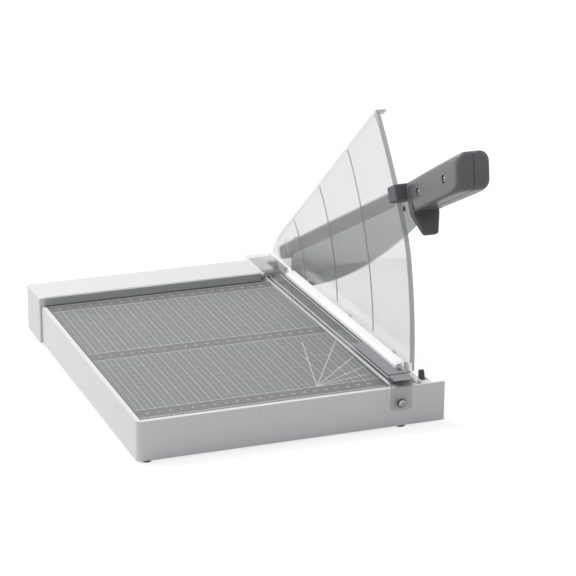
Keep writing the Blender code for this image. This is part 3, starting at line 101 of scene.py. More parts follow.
def add(tree: NodeTree, kind: str, sockets: dict[Any, Any] | None = None, **settings: Any) -> Node:
    """Add one shader node with its settings, values and links.

    Inputs and outputs that share a name are told apart by number: a Mix node
    takes its colours at 6 and 7 and gives their mix at 2.

    Args:
        tree: The node tree that takes it.
        kind: The node's type without its ShaderNode prefix.
        sockets: Inputs by name or number, each a plain value or an output to link.
        settings: The node's own properties.

    Returns:
        The new node.
    """
    made = tree.nodes.new("ShaderNode" + kind)
    for name, value in settings.items():
        setattr(made, name, value)
    for name, value in (sockets or {}).items():
        target = made.inputs[name]
        if isinstance(value, NodeSocket):
            tree.links.new(value, target)
        else:
            target.default_value = value
    return made


@dataclass(frozen=True)
class Finish:
    """A surface, named for its material and how it was made."""

    name: str

    def shade(self, tree: NodeTree) -> NodeSocket:
        """Build the surface's nodes and return the shader output; each kind has its own."""
        raise NotImplementedError

    def material(self) -> Material:
        """Make the material at its first use, and find it again after that.

        Returns:
            This finish's material.
        """
        found = bpy.data.materials.get(self.name)
        if found:
            return found
        made = bpy.data.materials.new(self.name)
        made.use_nodes = True
        tree = made.node_tree
        tree.nodes.clear()
        add(tree, "OutputMaterial", {"Surface": self.shade(tree)})
        return made

    def dress(self, *targets: Object | str) -> None:
        """Put this finish on nodes of the model, by name, or on new pieces.

        Args:
            targets: Names of the model's nodes, or new objects.
        """
        for target in targets:
            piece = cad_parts[target] if isinstance(target, str) else target
            if not piece.material_slots:
                piece.data.materials.append(self.material())
            for spot in piece.material_slots:
                spot.material = self.material()
            LOG.info("%s is finished in %s", piece.name, self.name)


@dataclass(frozen=True, kw_only=True)
class TexturedFinish(Finish):
    """A surface whose tone, gloss and height follow noises.

    The depth is in millimetres, and each shift is how far a noise moves its
    value either way.
    """

    roughness: float
    depth_mm: float
    tone_shift: float
    gloss_shift: float = 0.05

    def surface(self, tree: NodeTree, colour: Any, cloud: Node, grain: Node,
                metallic: float = 0.0) -> NodeSocket:
        """Build the shader over the noises.

        Args:
            tree: The material's nodes.
            colour: The colour before its tone shifts, as a value or an output to link.
            cloud: The noise that shifts the tone.
            grain: The noise that shifts the gloss and the height.
            metallic: How far the surface is bare metal, from 0 to 1.

        Returns:
            The shader output.
        """
        tone = add(tree, "MapRange", {"Value": cloud.outputs["Fac"], "To Min": 1 - self.tone_shift,
                                      "To Max": 1 + self.tone_shift})
        toned = add(tree, "VectorMath", {0: colour, "Scale": tone.outputs["Result"]}, operation="SCALE")
        gloss = add(tree, "MapRange", {"Value": grain.outputs["Fac"],
                                       "To Min": self.roughness - self.gloss_shift,
                                       "To Max": self.roughness + self.gloss_shift})
        bump = add(tree, "Bump", {"Height": grain.outputs["Fac"], "Distance": self.depth_mm * MM})
        shader = add(tree, "BsdfPrincipled", {"Base Color": toned.outputs["Vector"],
                                              "Metallic": metallic,
                                              "Roughness": gloss.outputs["Result"],
                                              "Normal": bump.outputs["Normal"]})
        return shader.outputs["BSDF"]


@dataclass(frozen=True, kw_only=True)
class GrainedFinish(TexturedFinish):
    """A coat or a moulding with a fine even texture.

    The grain is a shallow bump, and a slow cloud of tone and gloss keeps a wide
    face from looking like one flat colour.
    """

    colour: str
    grain_mm: float
    cloud_mm: float = 60.0

    def shade(self, tree: NodeTree) -> NodeSocket:
        """Build a grained dielectric.

        Args:
            tree: The material's nodes.

        Returns:
            The shader output.
        """
        place = add(tree, "TexCoord").outputs["Object"]
        grain = add(tree, "TexNoise", {"Vector": place, "Scale": 1 / (self.grain_mm * MM), "Detail": 3.0})
        cloud = add(tree, "TexNoise", {"Vector": place, "Scale": 1 / (self.cloud_mm * MM), "Detail": 2.0})
        return self.surface(tree, linear(self.colour)[:3], cloud, grain)


@dataclass(frozen=True, kw_only=True)
class GroundMetal(TexturedFinish):
    """Bare or plated metal with the fine parallel marks of its grinding."""

    colour: str
    grain: Grain
    mark_mm: float = 0.25
    depth_mm: float = 0.004
    tone_shift: float = 0.08
    gloss_shift: float = 0.06
    stretch_share: float = 0.02
    metallic: float = 1.0

    def shade(self, tree: NodeTree) -> NodeSocket:
        """Build a metal whose marks are stretched along the grain.

        Args:
            tree: The material's nodes.

        Returns:
            The shader output.
        """
        stretch = (1, 1, 1) if self.grain is Grain.ROUND else (1, self.stretch_share, 1)
        turn = -ARM_LIFT if self.grain is Grain.ALONG_ARM else 0.0
        place = add(tree, "TexCoord").outputs["Object"]
        turned = add(tree, "Mapping", {"Vector": place, "Rotation": (turn, 0, 0)})
        pulled = add(tree, "VectorMath", {0: turned.outputs["Vector"], 1: stretch}, operation="MULTIPLY")
        marks = add(tree, "TexNoise", {"Vector": pulled.outputs["Vector"], "Scale": 1 / (self.mark_mm * MM),
                                       "Detail": 4.0})
        return self.surface(tree, linear(self.colour)[:3], marks, marks, self.metallic)


@dataclass(frozen=True, kw_only=True)
class ClearMoulding(Finish):
    """Clear plastic as it comes from the mould.

    Part of what lies behind shows straight through, and part is bent and
    mirrored by the moulded body. Faces that look one way get an opaque edge
    colour, a painted reflection that draws rims and ribs as grey lines or
    white glints. Light that casts shadows passes, so pieces behind it are lit
    as if it were air.
    """

    colour: str
    tint: str
    clear_share: float
    edge_colour: str
    edge_share: float
    edge_facing: tuple[float, float, float] = (1.0, 0.0, 0.0)
    both_ways: bool = True
    edge_from: float = 0.6
    edge_to: float = 0.8
    edge_roughness: float = 0.12
    roughness: float = 0.04
    gloss_share: float = 0.4
    ripple_mm: float = 45.0
    ior: float = 1.49
    passing_tint: str = "#FAFAFA"

    def edge(self, tree: NodeTree) -> NodeSocket:
        """Find the faces that get the painted edge reflection: those that face the set way.

        Args:
            tree: The material's nodes.

        Returns:
            How strongly a face shows the painted edge reflection.
        """
        facing = add(tree, "VectorMath", {0: add(tree, "TexCoord").outputs["Normal"],
                                          1: self.edge_facing}, operation="DOT_PRODUCT")
        level = facing.outputs["Value"]
        if self.both_ways:
            level = add(tree, "Math", {0: level}, operation="ABSOLUTE").outputs["Value"]
        share = add(tree, "MapRange", {"Value": level, "From Min": self.edge_from, "From Max": self.edge_to,
                                       "To Min": 0.0, "To Max": self.edge_share})
        return share.outputs["Result"]

    def shade(self, tree: NodeTree) -> NodeSocket:
        """Build a clear refracting body with a painted reflection on its edges, that casts almost no
        shadow.

        Args:
            tree: The material's nodes.

        Returns:
            The shader output.
        """
        place = add(tree, "TexCoord").outputs["Object"]
        ripple = add(tree, "TexNoise", {"Vector": place, "Scale": 1 / (self.ripple_mm * MM), "Detail": 1.0})
        gloss = add(tree, "MapRange", {"Value": ripple.outputs["Fac"],
                                       "To Min": self.roughness * (1 - self.gloss_share),
                                       "To Max": self.roughness * (1 + self.gloss_share)})
        body = add(tree, "BsdfPrincipled", {"Base Color": linear(self.colour), "IOR": self.ior,
                                            "Roughness": gloss.outputs["Result"],
                                            "Transmission Weight": 1.0})
        tinted = add(tree, "BsdfTransparent", {"Color": linear(self.tint)})
        flat = add(tree, "MixShader", {"Fac": self.clear_share, 1: body.outputs["BSDF"],
                                       2: tinted.outputs["BSDF"]})
        # Painted reflection: an opaque grey or white surface on the faces that the edge mask picks.
        rim = add(tree, "BsdfPrincipled", {"Base Color": linear(self.edge_colour), "IOR": self.ior,
                                           "Roughness": self.edge_roughness})
        seen = add(tree, "MixShader", {"Fac": self.edge(tree), 1: flat.outputs["Shader"],
                                       2: rim.outputs["BSDF"]})
        bare = add(tree, "BsdfTransparent", {"Color": linear(self.passing_tint)})
        path = add(tree, "LightPath")
        passing = add(tree, "Math", {0: path.outputs["Is Shadow Ray"], 1: path.outputs["Is Diffuse Ray"]},
                      operation="MAXIMUM")
        shader = add(tree, "MixShader", {"Fac": passing.outputs["Value"], 1: seen.outputs["Shader"],
                                         2: bare.outputs["BSDF"]})
        return shader.outputs["Shader"]


def swung(back: float, height: float, lift: float) -> Matrix:
    """Return the place of a hinged drawing in the model at rest.

    Args:
        back: The hinge's distance from the drawing's front, in millimetres.
        height: The hinge's height in the drawing, in millimetres.
        lift: How far its front is lifted at rest, in radians.

    Returns:
        The matrix from the drawing, in metres, to the model.
    """
    hinge = Matrix.Translation(Vector((0.0, back, height)) * MM)
    return Matrix.Translation(DRAWING) @ hinge @ Matrix.Rotation(-lift, 4, "X") @ hinge.inverted()


ARM_PLACE = swung(*ARM_HINGE, ARM_LIFT)
CLAMP_PLACE = swung(*CLAMP_HINGE, CLAMP_LIFT)


@dataclass(frozen=True)
class TablePrint:
    """Where the printed rulers lie, in millimetres from the table's front left corner.

    Each ruled row gives which way its lines are counted, their pitch and width
    in millimetres, and how strongly the ink covers.
    """

    zero_x: float = 9.86
    centimetre: float = 10.0
    centimetres: int = 20
    bands: tuple[tuple[float, float], ...] = ((3.4, 21.2), (143.4, 161.9), (278.4, 294.4))
    fan_foot: tuple[float, float] = (165.3, 21.2)
    fan_tips: tuple[tuple[int, float, float], ...] = (
        (75, 192.4, 128.4), (60, 227.4, 130.4), (45, 222.4, 78.4), (30, 222.4, 52.4), (15, 220.4, 35.4))
    ruled: tuple[tuple[str, float, float, float], ...] = (
        ("across", 1.0, 0.25, 0.24), ("back", 1.0, 0.25, 0.16), ("across", 5.0, 0.40, 0.50),
        ("back", 5.0, 0.35, 0.24), ("across", 10.0, 0.50, 0.72), ("back", 10.0, 0.45, 0.34))


PRINT = TablePrint()


@dataclass(frozen=True, kw_only=True)
class PrintedTable(TexturedFinish):
    """Grey enamelled steel with a screen-printed millimetre grid.

    The thin pale lines lie flat in the coat, so they change the colour and not
    the surface. The 1 mm lines are drawn faint, because at this distance they
    only lift the tone; the 5 and 10 mm lines are drawn to show.
    """

    ground: str
    ink: str
    band_ground: str
    cloud_mm: float = 40.0
    peel_mm: float = 0.9
    fade_shares: tuple[float, float] = (0.75, 0.25)

    def lines(self, tree: NodeTree, along: NodeSocket, pitch: float, width: float,
              weight: float) -> NodeSocket:
        """Return a mask of even lines.

        Args:
            tree: The material's nodes.
            along: The coordinate across the lines, in millimetres.
            pitch: The distance from line to line, in millimetres.
            width: The width of a line, in millimetres.
            weight: How strongly the ink covers, from 0 to 1.

        Returns:
            The mask, at most the weight.
        """
        nearest = add(tree, "Math", {0: along, 1: pitch / 2}, operation="PINGPONG")
        outer, inner = self.fade_shares
        mask = add(tree, "MapRange", {"Value": nearest.outputs["Value"], "From Min": width * outer,
                                      "From Max": width * inner, "To Min": 0.0, "To Max": weight})
        return mask.outputs["Result"]

    def bands(self, tree: NodeTree, back: NodeSocket) -> NodeSocket:
        """Return a mask of the bare bands where the rulers are.

        Args:
            tree: The material's nodes.
            back: The distance from the table's front edge, in millimetres.

        Returns:
            1 inside a band and 0 elsewhere.
        """
        mask = None
        for low, high in PRINT.bands:
            above = add(tree, "Math", {0: back, 1: low}, operation="GREATER_THAN").outputs["Value"]
            below = add(tree, "Math", {0: back, 1: high}, operation="LESS_THAN").outputs["Value"]
            inside = add(tree, "Math", {0: above, 1: below}, operation="MULTIPLY").outputs["Value"]
            mask = inside if mask is None else add(tree, "Math", {0: mask, 1: inside},
                                                   operation="MAXIMUM").outputs["Value"]
        return mask

    def shade(self, tree: NodeTree) -> NodeSocket:
        """Build the grid, with bare bands where the rulers are.

        Args:
            tree: The material's nodes.

        Returns:
            The shader output.
        """
        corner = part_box("table_plate")[0]
        start = (corner.x + PRINT.zero_x * MM, corner.y, 0.0)
        place = add(tree, "TexCoord").outputs["Object"]
        moved = add(tree, "VectorMath", {0: place, 1: start}, operation="SUBTRACT")
        sized = add(tree, "VectorMath", {0: moved.outputs["Vector"], "Scale": 1 / MM}, operation="SCALE")
        axes = add(tree, "SeparateXYZ", {0: sized.outputs["Vector"]})
        ways = {"across": axes.outputs["X"], "back": axes.outputs["Y"]}
        lines = None
        for way, pitch, width, weight in PRINT.ruled:
            more = self.lines(tree, ways[way], pitch, width, weight)
            lines = more if lines is None else add(tree, "Math", {0: lines, 1: more},
                                                   operation="MAXIMUM").outputs["Value"]
        band_mask = self.bands(tree, ways["back"])
        open_share = add(tree, "Math", {0: 1.0, 1: band_mask}, operation="SUBTRACT").outputs["Value"]
        lines = add(tree, "Math", {0: lines, 1: open_share}, operation="MULTIPLY").outputs["Value"]
        cloud = add(tree, "TexNoise", {"Vector": place, "Scale": 1 / (self.cloud_mm * MM), "Detail": 3.0})
        ground = add(tree, "Mix", {0: band_mask, 6: linear(self.ground), 7: linear(self.band_ground)},
                     data_type="RGBA")
        inked = add(tree, "Mix", {0: lines, 6: ground.outputs[2], 7: linear(self.ink)}, data_type="RGBA")
        peel = add(tree, "TexNoise", {"Vector": place, "Scale": 1 / (self.peel_mm * MM), "Detail": 2.0})
        return self.surface(tree, inked.outputs[2], cloud, peel)


# Powder coat on folded steel: satin light grey with a faint orange peel.
SHELL = GrainedFinish(name="powder_coated_steel_light_grey", colour="#DADBDD", roughness=0.42,
                      grain_mm=1.2, depth_mm=0.012, tone_shift=0.015)
# Anodised aluminium extrusion under clear lacquer: near white and satin.
RAIL = GrainedFinish(name="lacquered_aluminium_near_white", colour="#D6D6D6", roughness=0.36,
                     grain_mm=0.5, depth_mm=0.006, tone_shift=0.015)
# Screen-printed enamel: mid grey with pale lines under a dull sheen.
TABLE = PrintedTable(name="screen_printed_enamel_table", ground="#676B6B", ink="#DADCDC",
                     band_ground="#717174", roughness=0.45, depth_mm=0.008, tone_shift=0.03,
                     gloss_shift=0.06)
# Moulded ABS with a spark-eroded grain: dark grey, even and dull.
DARK = GrainedFinish(name="moulded_abs_dark_grey", colour="#55585B", roughness=0.48, grain_mm=0.5,
                     depth_mm=0.02, tone_shift=0.04)
# Enamelled steel of the fence: a deeper grey with a soft gleam.
FENCE = GrainedFinish(name="enamelled_steel_fence_grey", colour="#B3B7B6", roughness=0.4, grain_mm=0.6,
                      depth_mm=0.01, tone_shift=0.03)
# Moulded ABS of the grip: mid grey with a soft sheen that follows its round edges.
GRIP = GrainedFinish(name="moulded_abs_mid_grey", colour="#66666A", roughness=0.28, grain_mm=0.6,
                     depth_mm=0.015, tone_shift=0.03)
# The hand guard's ABS: charcoal, with the same grain.
HAND_GUARD = GrainedFinish(name="moulded_abs_charcoal", colour="#56575A", roughness=0.48, grain_mm=0.5,
                           depth_mm=0.02, tone_shift=0.03)
# White enamel on the clamp's aluminium bar: glossy and clean.
WHITE_BAR = GrainedFinish(name="enamelled_aluminium_white", colour="#F6F6F6", roughness=0.25,
                          grain_mm=0.9, depth_mm=0.004, tone_shift=0.01)
# Soft PVC of the pads: dull mid grey.
PAD = GrainedFinish(name="moulded_pvc_pad_grey", colour="#85868A", roughness=0.55, grain_mm=0.5,
                    depth_mm=0.015, tone_shift=0.02)
# Vulcanised rubber of feet and bumper: nearly black and dead matt.
RUBBER = GrainedFinish(name="vulcanised_rubber_charcoal", colour="#46474A", roughness=0.75,
                       grain_mm=0.4, depth_mm=0.03, tone_shift=0.05)
# Grey enamel on the arm's steel bar: satin and even.
ARM_BAR = GrainedFinish(name="enamelled_steel_arm_grey", colour="#808080", roughness=0.35, grain_mm=0.8,
                        depth_mm=0.008, tone_shift=0.02)
# Ground tool steel of the moving blade: cool grey, marks along the edge.
BLADE = GroundMetal(name="ground_tool_steel_blade", colour="#C2C6C5", roughness=0.42,
                    grain=Grain.ALONG_ARM, mark_mm=0.35, metallic=0.5)
# Ground tool steel of the fixed blade: the same, marks along the table.
FIXED_BLADE = GroundMetal(name="ground_tool_steel_fixed_blade", colour="#C2C6C5", roughness=0.36,
                          grain=Grain.ALONG_Y)
# Bright zinc plate on screws, washers and nuts: pale with a fine cloud.
ZINC = GroundMetal(name="zinc_plated_steel", colour="#B2B5B7", roughness=0.3, grain=Grain.ROUND,
                   mark_mm=0.4)
# Clear polystyrene: the guard, sheer, with grey rims that are a painted reflection on the faces that look
# front and up.
CLEAR_GUARD = ClearMoulding(name="moulded_clear_polystyrene_guard", colour="#FAFAFA", tint="#F0F0F0",
                            clear_share=0.74, edge_colour="#A6A6A8", edge_share=0.75,
                            edge_facing=(0.0, -0.9, 0.43), both_ways=False)
# Clear polystyrene in thicker pieces: the strip, the boss and the cover. Their side faces carry a painted
# white glint.
CLEAR_STRIP = ClearMoulding(name="moulded_clear_polystyrene_strip", colour="#F5F6F6", tint="#F2F3F3",
                            clear_share=0.78, edge_colour="#FFFFFF", edge_share=0.7)
# Screen ink on the table: pale grey, flat.
INK = GrainedFinish(name="screen_ink_pale_grey", colour="#D2D4D4", roughness=0.5, grain_mm=0.5,
                    depth_mm=0.002, tone_shift=0.03)
# Pale PVC of the small pad under the cover.
COVER_PAD = GrainedFinish(name="moulded_pvc_cover_pad_pale", colour="#C4C5C7", roughness=0.5,
                          grain_mm=0.5, depth_mm=0.015, tone_shift=0.02)
# Zinc plate on the pivot bracket, paler and less metallic than bare zinc: a painted reflection of the clear
# guard in front of it, with a fine cloud.
BRACKET = GroundMetal(name="zinc_plated_bracket_steel", colour="#C9CBCC", roughness=0.4,
                      grain=Grain.ROUND, mark_mm=0.6, metallic=0.4)
# Ridges of the clear strip drawn in opaque near white: a painted glint along them.
PAINTED_RIDGE_GLINT = GrainedFinish(name="clear_ridge_painted_glint", colour="#F4F5F6", roughness=0.15, grain_mm=0.8,
                      depth_mm=0.002, tone_shift=0.01)
# Painted shade: a dark strip laid on the table's left edge, where the seam between table and wall falls in
# shade.
PAINTED_SEAM_SHADE = GrainedFinish(name="painted_seam_shade", colour="#4A4D4E", roughness=0.7, grain_mm=0.5,
                     depth_mm=0.002, tone_shift=0.02)
# A flat near-black disc on the blade's nose, dead matt.
NOSE_STOP = GrainedFinish(name="near_black_nose_disc", colour="#101112", roughness=0.6,
                          grain_mm=0.4, depth_mm=0.02, tone_shift=0.02)


def piece_from(build: BMesh, name: str, body: Body, finish: Finish) -> Object:
    """Turn built faces into a dressed piece that rides on a body.

    Args:
        build: The faces, in metres in the model's frame. They are freed here.
        name: The piece's name.
        body: What the piece moves with.
        finish: Its surface.

    Returns:
        The new piece.
    """
    mesh = bpy.data.meshes.new(name)
    bmesh.ops.recalc_face_normals(build, faces=build.faces)
    build.to_mesh(mesh)
    build.free()
    made = bpy.data.objects.new(name, mesh)
    bpy.context.scene.collection.objects.link(made)
    finish.dress(made)
    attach(made, body.value)
    return made


def numbered(stem: str, count: int) -> list[str]:
    """Return the names of numbered nodes, such as foot_1 and foot_2."""
    return [f"{stem}_{number}" for number in range(1, count + 1)]


def bar_between(build: BMesh, start: Vector, end: Vector, width: float, rise: float) -> None:
    """Add a flat bar that lies level between two points.

    Args:
        build: Takes the faces.
        start: The middle of its underside at one end.
        end: The same at the other end.
        width: Its width.
        rise: Its thickness, upwards.
    """
    run = end - start
    side = Vector((-run.y, run.x, 0)).normalized() * width / 2
    up = Vector((0, 0, rise))
    low = [build.verts.new(spot) for spot in (start - side, end - side, end + side, start + side)]
    high = [build.verts.new(vert.co + up) for vert in low]
    build.faces.new(low[::-1])
    build.faces.new(high)
    for index in range(len(low)):
        after = (index + 1) % len(low)
        build.faces.new((low[index], low[after], high[after], high[index]))


def add_words(build: BMesh, words: str, size: float, place: Matrix, rise: float) -> None:
    """Add flat raised figures.

    Args:
        build: Takes the faces.
        words: The figures, such as a number.
        size: The height of a line of text.
        place: Where their middle stands and how it is turned.
        rise: Their thickness.
    """
    curve = bpy.data.curves.new("figures", "FONT")
    curve.body = words
    curve.size = size
    curve.align_x = "CENTER"
    curve.align_y = "CENTER"
    curve.extrude = rise / 2
    curve.resolution_u = FIGURE_STEPS
    holder = bpy.data.objects.new("figures", curve)
    bpy.context.scene.collection.objects.link(holder)
    graph = bpy.context.evaluated_depsgraph_get()
    mesh = bpy.data.meshes.new_from_object(holder.evaluated_get(graph))
    mesh.transform(place)
    build.from_mesh(mesh)
    bpy.data.objects.remove(holder)
    bpy.data.curves.remove(curve)
    bpy.data.meshes.remove(mesh)


def on_arm(across: float, along: float, up: float) -> Vector:
    """Return a place in the arm's own drawing, where the arm lies level.

    Args:
        across: The distance across the drawing, in millimetres.
        along: The distance from the pivot towards the grip.
        up: The height above the pivot.

    Returns:
        The place, in metres, before ARM_PLACE lifts it.
    """
    back, height = ARM_HINGE
    return Vector((across, back - along, height + up)) * MM


def slab(outline: Sequence[tuple[float, float]], left: float, right: float) -> BMesh:
    """Build a flat plate on the arm from its side view.

    Args:
        outline: Places along the arm and above its middle line, in millimetres.
        left: The plate's left face across the drawing, in millimetres.
        right: Its right face.

    Returns:
        Its faces, in metres in the model.
    """
    build = bmesh.new()
    sides = [[build.verts.new(on_arm(across, along, up)) for along, up in outline]
             for across in (left, right)]
    build.faces.new(sides[0])
    build.faces.new(sides[1][::-1])
    for index in range(len(outline)):
        after = (index + 1) % len(outline)
        build.faces.new((sides[0][index], sides[1][index], sides[1][after], sides[0][after]))
    build.transform(ARM_PLACE)
    return build


def ribbon(build: BMesh, low: Sequence[float], high: Sequence[float]) -> None:
    """Add a box between two corners.

    Args:
        build: Takes the faces.
        low: The lowest corner in the drawing, in millimetres.
        high: The highest corner.
    """
    sizes = [(b - a) * MM for a, b in zip(low, high)]
    middle = Vector([(a + b) / 2 for a, b in zip(low, high)]) * MM
    bmesh.ops.create_cube(build, size=1.0, matrix=Matrix.Translation(middle) @ Matrix.Diagonal((*sizes, 1)))


def cutter_from(build: BMesh, name: str) -> Object:
    """Turn built faces into a plain object for carve().

    Args:
        build: The faces. They are freed here.
        name: The object's name while it lasts.

    Returns:
        The object.
    """
    mesh = bpy.data.meshes.new(name)
    build.to_mesh(mesh)
    build.free()
    return bpy.data.objects.new(name, mesh)


def carve(piece: Object, cutter: Object) -> None:
    """Cut a form out of a piece for good.

    Args:
        piece: The piece.
        cutter: What is cut away. It is removed afterwards.
    """
    bpy.context.scene.collection.objects.link(cutter)
    cut = piece.modifiers.new("cut", "BOOLEAN")
    cut.object = cutter
    cut.solver = "EXACT"
    cut.use_self = True
    graph = bpy.context.evaluated_depsgraph_get()
    done = bpy.data.meshes.new_from_object(piece.evaluated_get(graph))
    piece.modifiers.remove(cut)
    piece.data = done
    bpy.data.objects.remove(cutter)


def smooth(piece: Object, angle: float = math.radians(35)) -> None:
    """Shade a piece smooth, but keep its sharp edges.

    Args:
        piece: The piece.
        angle: The turn from which an edge stays sharp, in radians.
    """
    mesh = piece.data
    mesh.shade_smooth()
    build = bmesh.new()
    build.from_mesh(mesh)
    for edge in build.edges:
        edge.smooth = len(edge.link_faces) == 2 and edge.calc_face_angle(0.0) < angle
    build.to_mesh(mesh)
    build.free()


def across_drawing(place: Vector) -> float:
    """Return how far across the drawing a place in the model lies, in millimetres."""
    return (place.x - DRAWING.x) / MM


@dataclass
class CrossScrews:
    """Screw heads with a cross recess, in place of the model's plain ones.

    The blade's width and reach are shares of the head's radius. The second
    blade is cut a little less deep, so that the two floors never coincide.
    """

    blade_share: float = 0.28
    reach_share: float = 0.62
    depth: float = 0.9 * MM
    second_share: float = 0.98
    face_depth: float = 0.05 * MM
    weld: float = 0.005 * MM

    def cutter(self, centre: Vector, out: Vector, radius: float) -> Object:
        """Return the two crossing blades that cut one recess.

        Args:
            centre: The middle of the head's face.
            out: The way the head faces.
            radius: The head's radius.

        Returns:
            The cutter.
        """
        turn = Vector((0, 0, 1)).rotation_difference(out).to_matrix().to_4x4()
        reach = 2 * radius * self.reach_share
        blade = radius * self.blade_share
        deep = 2 * self.depth
        cross = bmesh.new()
        for size in ((reach, blade, deep), (blade, reach, deep * self.second_share)):
            place = Matrix.Translation(centre) @ turn @ Matrix.Diagonal((*size, 1))
            bmesh.ops.create_cube(cross, size=1.0, matrix=place)
        return cutter_from(cross, "cross")

    def build(self, names: Iterable[str], body: Body, outward: Sequence[float]) -> None:
        """Cut a cross into the head of each screw.

        Args:
            names: The model's screws.
            body: What they ride on.
            outward: The way their heads face.
        """
        out = Vector(outward).normalized()
        for name in names:
            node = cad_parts[name]
            build = bmesh.new()
            build.from_mesh(node.data)
            build.transform(node.matrix_world)
            bmesh.ops.remove_doubles(build, verts=build.verts, dist=self.weld)
            tops = max(vert.co.dot(out) for vert in build.verts)
            face = [vert.co for vert in build.verts if vert.co.dot(out) > tops - self.face_depth]
            centre = sum(face, Vector()) / len(face)
            radius = max((vert.co - centre - out * (vert.co - centre).dot(out)).length
                         for vert in build.verts)
            made = piece_from(build, f"{name}_crossed", body, ZINC)
            carve(made, self.cutter(centre, out, radius))
            smooth(made)
            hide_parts(name)


@dataclass
class Base:
    """The base: its folded shell, the rail and fence, the fixed blade, the fittings and the feet."""

    fixed_blade_screws: int = 4

    def shell(self) -> None:
        """Coat the shell, the rail and the fence."""
        SHELL.dress("base_frame", "stop_block")
        RAIL.dress("back_rail", "rail_end_cap")
        FENCE.dress("fence_strip")

    def fixed_blade(self) -> None:
        """Dress the fixed blade and its screws."""
        FIXED_BLADE.dress("fixed_blade")
        ZINC.dress(*numbered("fixed_blade_screw", self.fixed_blade_screws))

    def fittings(self) -> None:
        """Dress the clamp's guide, the hinge's cover, the stop's bumper and the feet."""
        DARK.dress("clamp_guide_ring")
        CrossScrews().build(("clamp_guide_screw",), Body.BASE, (0, -1, 0))
        CLEAR_STRIP.dress("hinge_cover")
        COVER_PAD.dress("hinge_cover_pad")
        RUBBER.dress("stop_bumper", "foot_left_front", "foot_left_rear", "foot_right_front",
                     "foot_right_rear")

    def build(self) -> None:
        """Dress the whole base."""
        self.shell()
        self.fixed_blade()
        self.fittings()


@dataclass
class Table:
    """The printed table: its enamel, rulers and angle lines, and a strip of painted shade at its left edge.
    """

    border: float = 0.55 * MM
    border_left: float = 1.5 * MM
    border_right: float = 1.0 * MM
    figure: float = 4.2 * MM
    tick: float = 2.2 * MM
    tick_width: float = 0.35 * MM
    fan_line: float = 0.6 * MM
    fan_rise: float = 1.5 * PRINT_RISE
    label: float = 3.4 * MM
    label_share: float = 0.62
    label_rise: float = 2 * PRINT_RISE
    slot_width: float = 0.7 * MM
    slot_back: float = 38 * MM
    slot_rise: float = 2 * PRINT_RISE

    def spot(self, across: float, back: float) -> Vector:
        """Return a point on the table from millimetres off its front left corner."""
        low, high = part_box("table_plate")
        return Vector((low.x + across * MM, low.y + back * MM, high.z))

    def borders(self) -> None:
        """Draw the line on each side of every ruler band."""
        low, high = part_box("table_plate")
        build = bmesh.new()
        for band in PRINT.bands:
            for back in band:
                left = Vector((low.x + self.border_left, low.y + back * MM, high.z))
                right = Vector((high.x - self.border_right, low.y + back * MM, high.z))
                bar_between(build, left, right, self.border, PRINT_RISE)
        piece_from(build, "table_ruler_borders", Body.BASE, INK)

    def figures(self) -> None:
        """Number the centimetres in every ruler band."""
        build = bmesh.new()
        for low, high in PRINT.bands:
            for number in range(PRINT.centimetres + 1):
                across = PRINT.zero_x + number * PRINT.centimetre
                place = self.spot(across, (low + high) / 2) + Vector((0, 0, PRINT_RISE / 2))
                add_words(build, str(number), self.figure, Matrix.Translation(place), PRINT_RISE)
                top = self.spot(across, high)
                bar_between(build, top, top - Vector((0, self.tick, 0)), self.tick_width, PRINT_RISE)
        piece_from(build, "table_ruler_figures", Body.BASE, INK)

    def fan(self) -> None:
        """Draw the angle lines that meet at one point, each with its figure."""
        lines = bmesh.new()
        labels = bmesh.new()
        foot = self.spot(*PRINT.fan_foot)
        for angle, across, back in PRINT.fan_tips:
            tip = self.spot(across, back)
            bar_between(lines, foot, tip, self.fan_line, self.fan_rise)
            place = foot.lerp(tip, self.label_share) + Vector((0, 0, self.label_rise / 2))
            add_words(labels, f"{angle}°", self.label, Matrix.Translation(place), self.label_rise)
        piece_from(lines, "table_angle_lines", Body.BASE, INK)
        piece_from(labels, "table_angle_figures", Body.BASE, INK)

    def slot(self) -> None:
        """Lay a dark strip of painted shade along the seam between the table's left edge and the wall's
        rim.
        """
        low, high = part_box("table_plate")
        build = bmesh.new()
        end = Vector((low.x, high.y - self.slot_back, high.z))
        bar_between(build, Vector((low.x, low.y, high.z)), end, self.slot_width, self.slot_rise)
        piece_from(build, "table_left_painted_shade", Body.BASE, PAINTED_SEAM_SHADE)

    def build(self) -> None:
        """Coat the table and print everything on it."""
        TABLE.dress("table_plate")
        self.borders()
        self.figures()
        self.fan()
        self.slot()


@dataclass
class Pivot:
    """What carries the arm: a bracket with its screws, and the bolt with all that is threaded on it."""

    bracket_screws: int = 2

    def build(self) -> None:
        """Dress the bracket and its fixings."""
        BRACKET.dress("pivot_bracket")
        ZINC.dress("pivot_bolt", "pivot_spacer", "pivot_spring_washer", "pivot_washer", "pivot_nut",
                   "pivot_bush", *numbered("bracket_screw", self.bracket_screws))


